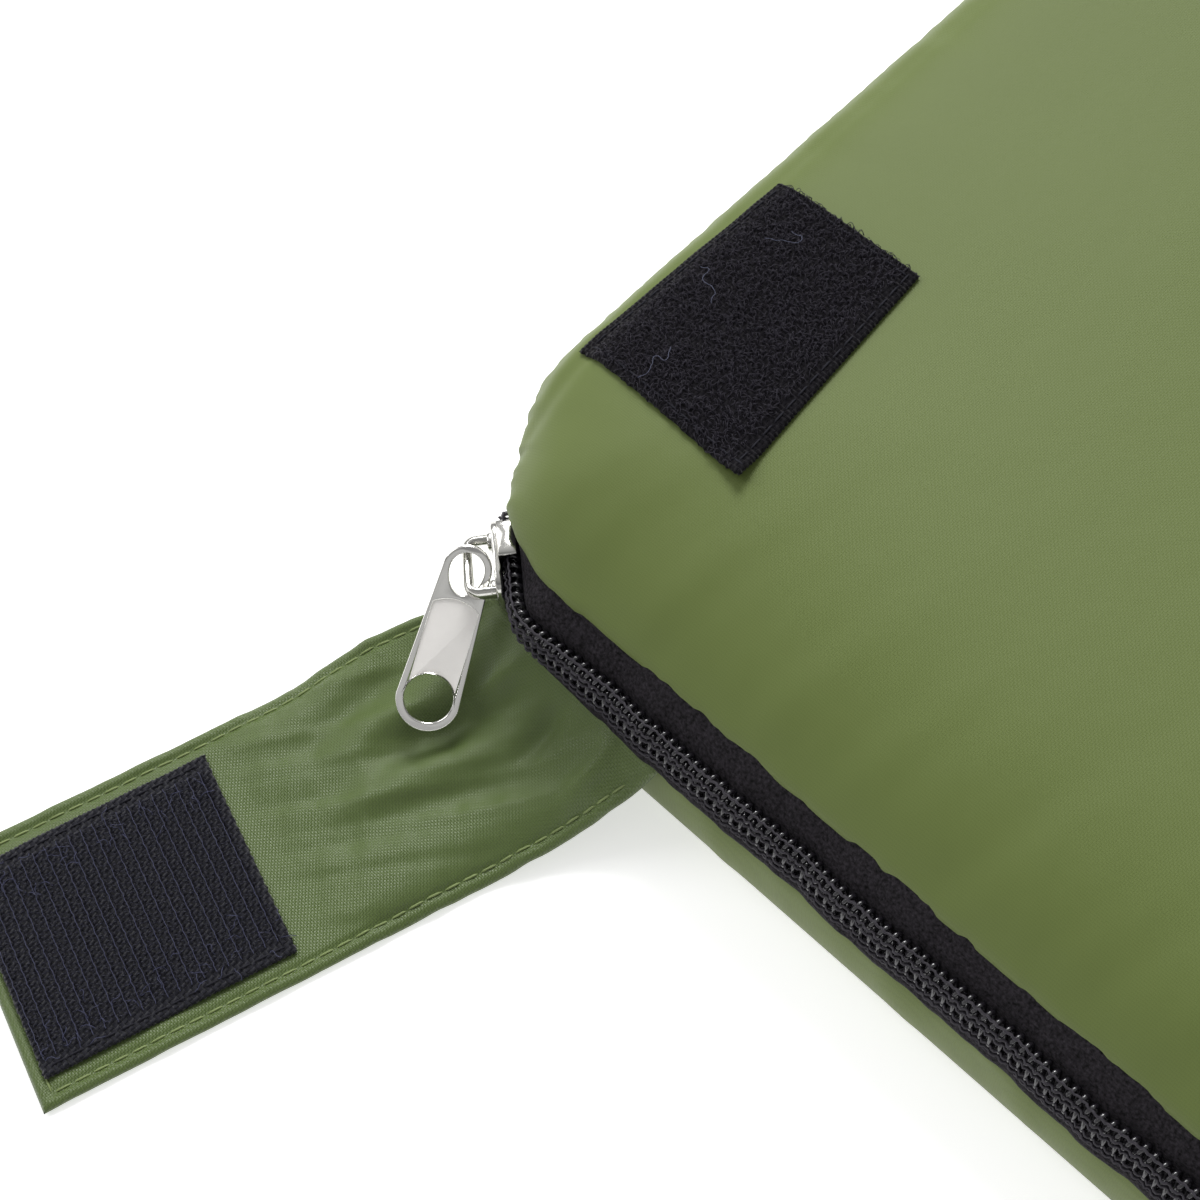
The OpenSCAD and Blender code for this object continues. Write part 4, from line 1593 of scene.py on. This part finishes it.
def hook_lines():
    """Two files of bent hooks in every row, leaning opposite ways."""
    lines = []
    files = HOOK_WIDTH / 2 - SELVEDGE
    for row in HOOK_ROWS:
        for way in (-1, 1):
            for across in np.arange(-files + 0.2, files, HOOK_GAP):
                root = row + way * 0.42 + random.uniform(-0.08, 0.08)
                side = across + random.uniform(-0.12, 0.12)
                bent = random.uniform(0.7, 1.15)
                drift = random.uniform(-0.2, 0.2)
                a = root + way * np.array([0, -0.05, 0.1, 0.34, 0.44]) * bent
                c = side + drift * np.array([0, 0.2, 0.6, 1, 1.1])
                lift = HOOK_BASE_T - 0.1 + np.array([0, 0.62, 0.9, 0.86, 0.6]) * (0.8 + 0.2 * bent)
                lines.append(on_tab(a, c, lift))
    return lines


def row_threads():
    across = np.linspace(-HOOK_WIDTH / 2 + SELVEDGE - 0.4, HOOK_WIDTH / 2 - SELVEDGE + 0.4, 90)
    lift = HOOK_BASE_T + 0.34 + 0.1 * np.cos(across * 8.5)
    return [on_tab(row + 0.07 * ripple(across, 2.2, row), across, lift) for row in HOOK_ROWS]


def stray_fibres(count, place, length, width, lift, reach, steps=9, curl=0.9):
    """Loose curly fibres, each a short random walk that keeps turning."""
    lines = []
    for _ in range(count):
        a = random.uniform(-length / 2 + 0.6, length / 2 - 0.6)
        c = random.choice((-1, 1)) * random.uniform(0.55, 1) * (width / 2 - 1.2)
        heading, bend = random.uniform(0, 6.28), random.uniform(-curl, curl)
        at, high = [(a, c)], [lift]
        for step in range(steps):
            heading += bend * math.cos(0.35 * step) + random.uniform(-0.5, 0.5)
            a, c = a + 0.26 * math.cos(heading), c + 0.26 * math.sin(heading)
            at.append((a, c))
            high.append(lift + reach * math.sin((step + 1) / (steps + 1) * math.pi))
        at = np.array(at)
        lines.append(place(at[:, 0], at[:, 1], np.array(high)))
    return lines


hook_base = finish_piece(
    patch_base(HOOK_LENGTH, HOOK_WIDTH, on_tab, HOOK_BASE_T, HOOK_ROW_PITCH),
    "hook_patch_base", "tab_end", "hook_tape", cloth=from_above,
)
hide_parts("hook_patch")
hooks = finish_piece(
    wires(hook_lines(), 0.075), "hook_patch_hooks", "tab_end", "hook_tape", "hook_nylon"
)
finish_piece(
    wires(row_threads() + stray_fibres(70, on_tab, HOOK_LENGTH, HOOK_WIDTH, 1.0, 0.5), 0.055),
    "hook_patch_threads", "tab_end", "hook_tape", "hook_ridge",
)
hook_sewing = finish_piece(
    patch_sewing(HOOK_LENGTH, HOOK_WIDTH, on_tab, HOOK_BASE_T + 0.08),
    "hook_patch_sewing", "tab_end", "black_thread",
)
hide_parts("hook_stitching")
print("hooks:", len(hooks.data.polygons), "faces")

# %% The loop patch on the upper quilt
LOOP_CORNERS = np.array([(29.2, -38.0), (70.3, -34.3), (70.3, -7.5), (30.9, -5.3)])
LOOP_LENGTH, LOOP_WIDTH = 42.0, 30.0
LOOP_BASE_T = 0.9
LOOP_COUNT = 4200


def on_quilt(along, across, lift):
    along, across, lift = np.broadcast_arrays(along, across, lift)
    u = (along / LOOP_LENGTH + 0.5)[:, None]
    v = (across / LOOP_WIDTH + 0.5)[:, None]
    low = LOOP_CORNERS[0] * (1 - u) + LOOP_CORNERS[1] * u
    high = LOOP_CORNERS[3] * (1 - u) + LOOP_CORNERS[2] * u
    x, y = (low * (1 - v) + high * v).T
    step = 1.5
    height = (
        upper_surface(x, y) + upper_surface(x + step, y) + upper_surface(x - step, y)
        + upper_surface(x, y - step) + upper_surface(x, y + 0.6 * step)
    ) / 5
    height = np.maximum(height, upper_surface(x, y) + 0.05)
    curl = 1.5 * np.exp(-(np.hypot(x - LOOP_CORNERS[0][0], y - LOOP_CORNERS[0][1]) / 3.2) ** 2)
    return world(x, y, height + lift + curl)


def loop_lines():
    """Arches of fibre with both feet in the base, turned every way."""
    lines = []
    for _ in range(LOOP_COUNT):
        a = random.uniform(-LOOP_LENGTH / 2 + 0.2, LOOP_LENGTH / 2 - 0.2)
        c = random.uniform(-LOOP_WIDTH / 2 + SELVEDGE * 0.8, LOOP_WIDTH / 2 - SELVEDGE * 0.8)
        turned, span = random.uniform(0, math.pi), random.uniform(0.45, 1.5)
        bow, tall = random.uniform(-0.5, 0.5), random.uniform(0.35, 0.95)
        share = np.array([0, 0.12, 0.38, 0.66, 0.9, 1.0])
        forward = (share - 0.5) * span * (1 + 0.4 * np.sin(share * math.pi))
        sideways = bow * np.sin(share * math.pi)
        along = a + forward * math.cos(turned) - sideways * math.sin(turned)
        along = np.clip(along, -LOOP_LENGTH / 2, LOOP_LENGTH / 2)
        across = c + forward * math.sin(turned) + sideways * math.cos(turned)
        lines.append((along, across, LOOP_BASE_T - 0.1 + tall * np.sin(share * math.pi)))
    along, across, lift = (np.concatenate([line[i] for line in lines]) for i in range(3))
    return list(on_quilt(along, across, lift).reshape(LOOP_COUNT, -1, 3))


loop_base = finish_piece(
    patch_base(LOOP_LENGTH, LOOP_WIDTH, on_quilt, LOOP_BASE_T, ragged=0.22),
    "loop_patch_base", "upper_quilt", "loop_tape", cloth=from_above,
)
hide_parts("loop_patch")
loops = finish_piece(
    wires(loop_lines(), 0.05), "loop_patch_loops", "upper_quilt", "loop_tape", "loop_fuzz"
)
finish_piece(
    wires(
        stray_fibres(3, on_quilt, LOOP_LENGTH * 0.7, LOOP_WIDTH * 0.6, 1.7, 0.4, 34, 0.5),
        0.035,
    ),
    "loop_patch_lint", "upper_quilt", "loop_tape", "pale_lint",
)
loop_sewing = finish_piece(
    patch_sewing(LOOP_LENGTH, LOOP_WIDTH, on_quilt, LOOP_BASE_T + 0.08),
    "loop_patch_sewing", "upper_quilt", "black_thread",
)
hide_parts("loop_stitching")
print("loops:", len(loops.data.polygons), "faces")


# %% [markdown]
# ## The folded side
# Along the spine one strip of shell cloth joins the quilts and acts as their hinge. It bulges a
# little between its seams. It has to bend when the sack is opened flat, but here it is one fixed
# piece that follows neither quilt.

# %% The spine strip
SPINE_LOW, SPINE_HIGH = 5.0, 36.5
SPINE_BULGE = 1.3


def make_spine():
    low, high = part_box("spine_fold")
    start, end = (low.y - corner.y) / MM, (high.y - corner.y) / MM
    bm, y, z = grid_bmesh(
        graded_lines(start, end, lambda p: 6), np.linspace(SPINE_LOW, SPINE_HIGH, 17)
    )
    share = (z - SPINE_LOW) / (SPINE_HIGH - SPINE_LOW)
    out = SPINE_X + 0.2 + SPINE_BULGE * np.sin(share * math.pi) ** 0.7
    gathers = 0.35 * ripple(y + z, 26, 0.5) * np.sin(share * math.pi)
    place_verts(bm.verts, world(out + gathers, y, z))
    spine = finish_piece(
        bm, "spine_strip", None, "shell_cloth", cloth=lambda at: (at[:, 1], at[:, 2])
    )
    give_thickness(spine, LINING_T)
    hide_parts("spine_fold")
    world(SPINE_X, -900, lower_top - 2)[0]
    world(SPINE_X, -900, lining_z + 2)[0]
    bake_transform(spine)
    return spine


spine = make_spine()
print("spine:", len(spine.data.polygons), "faces")
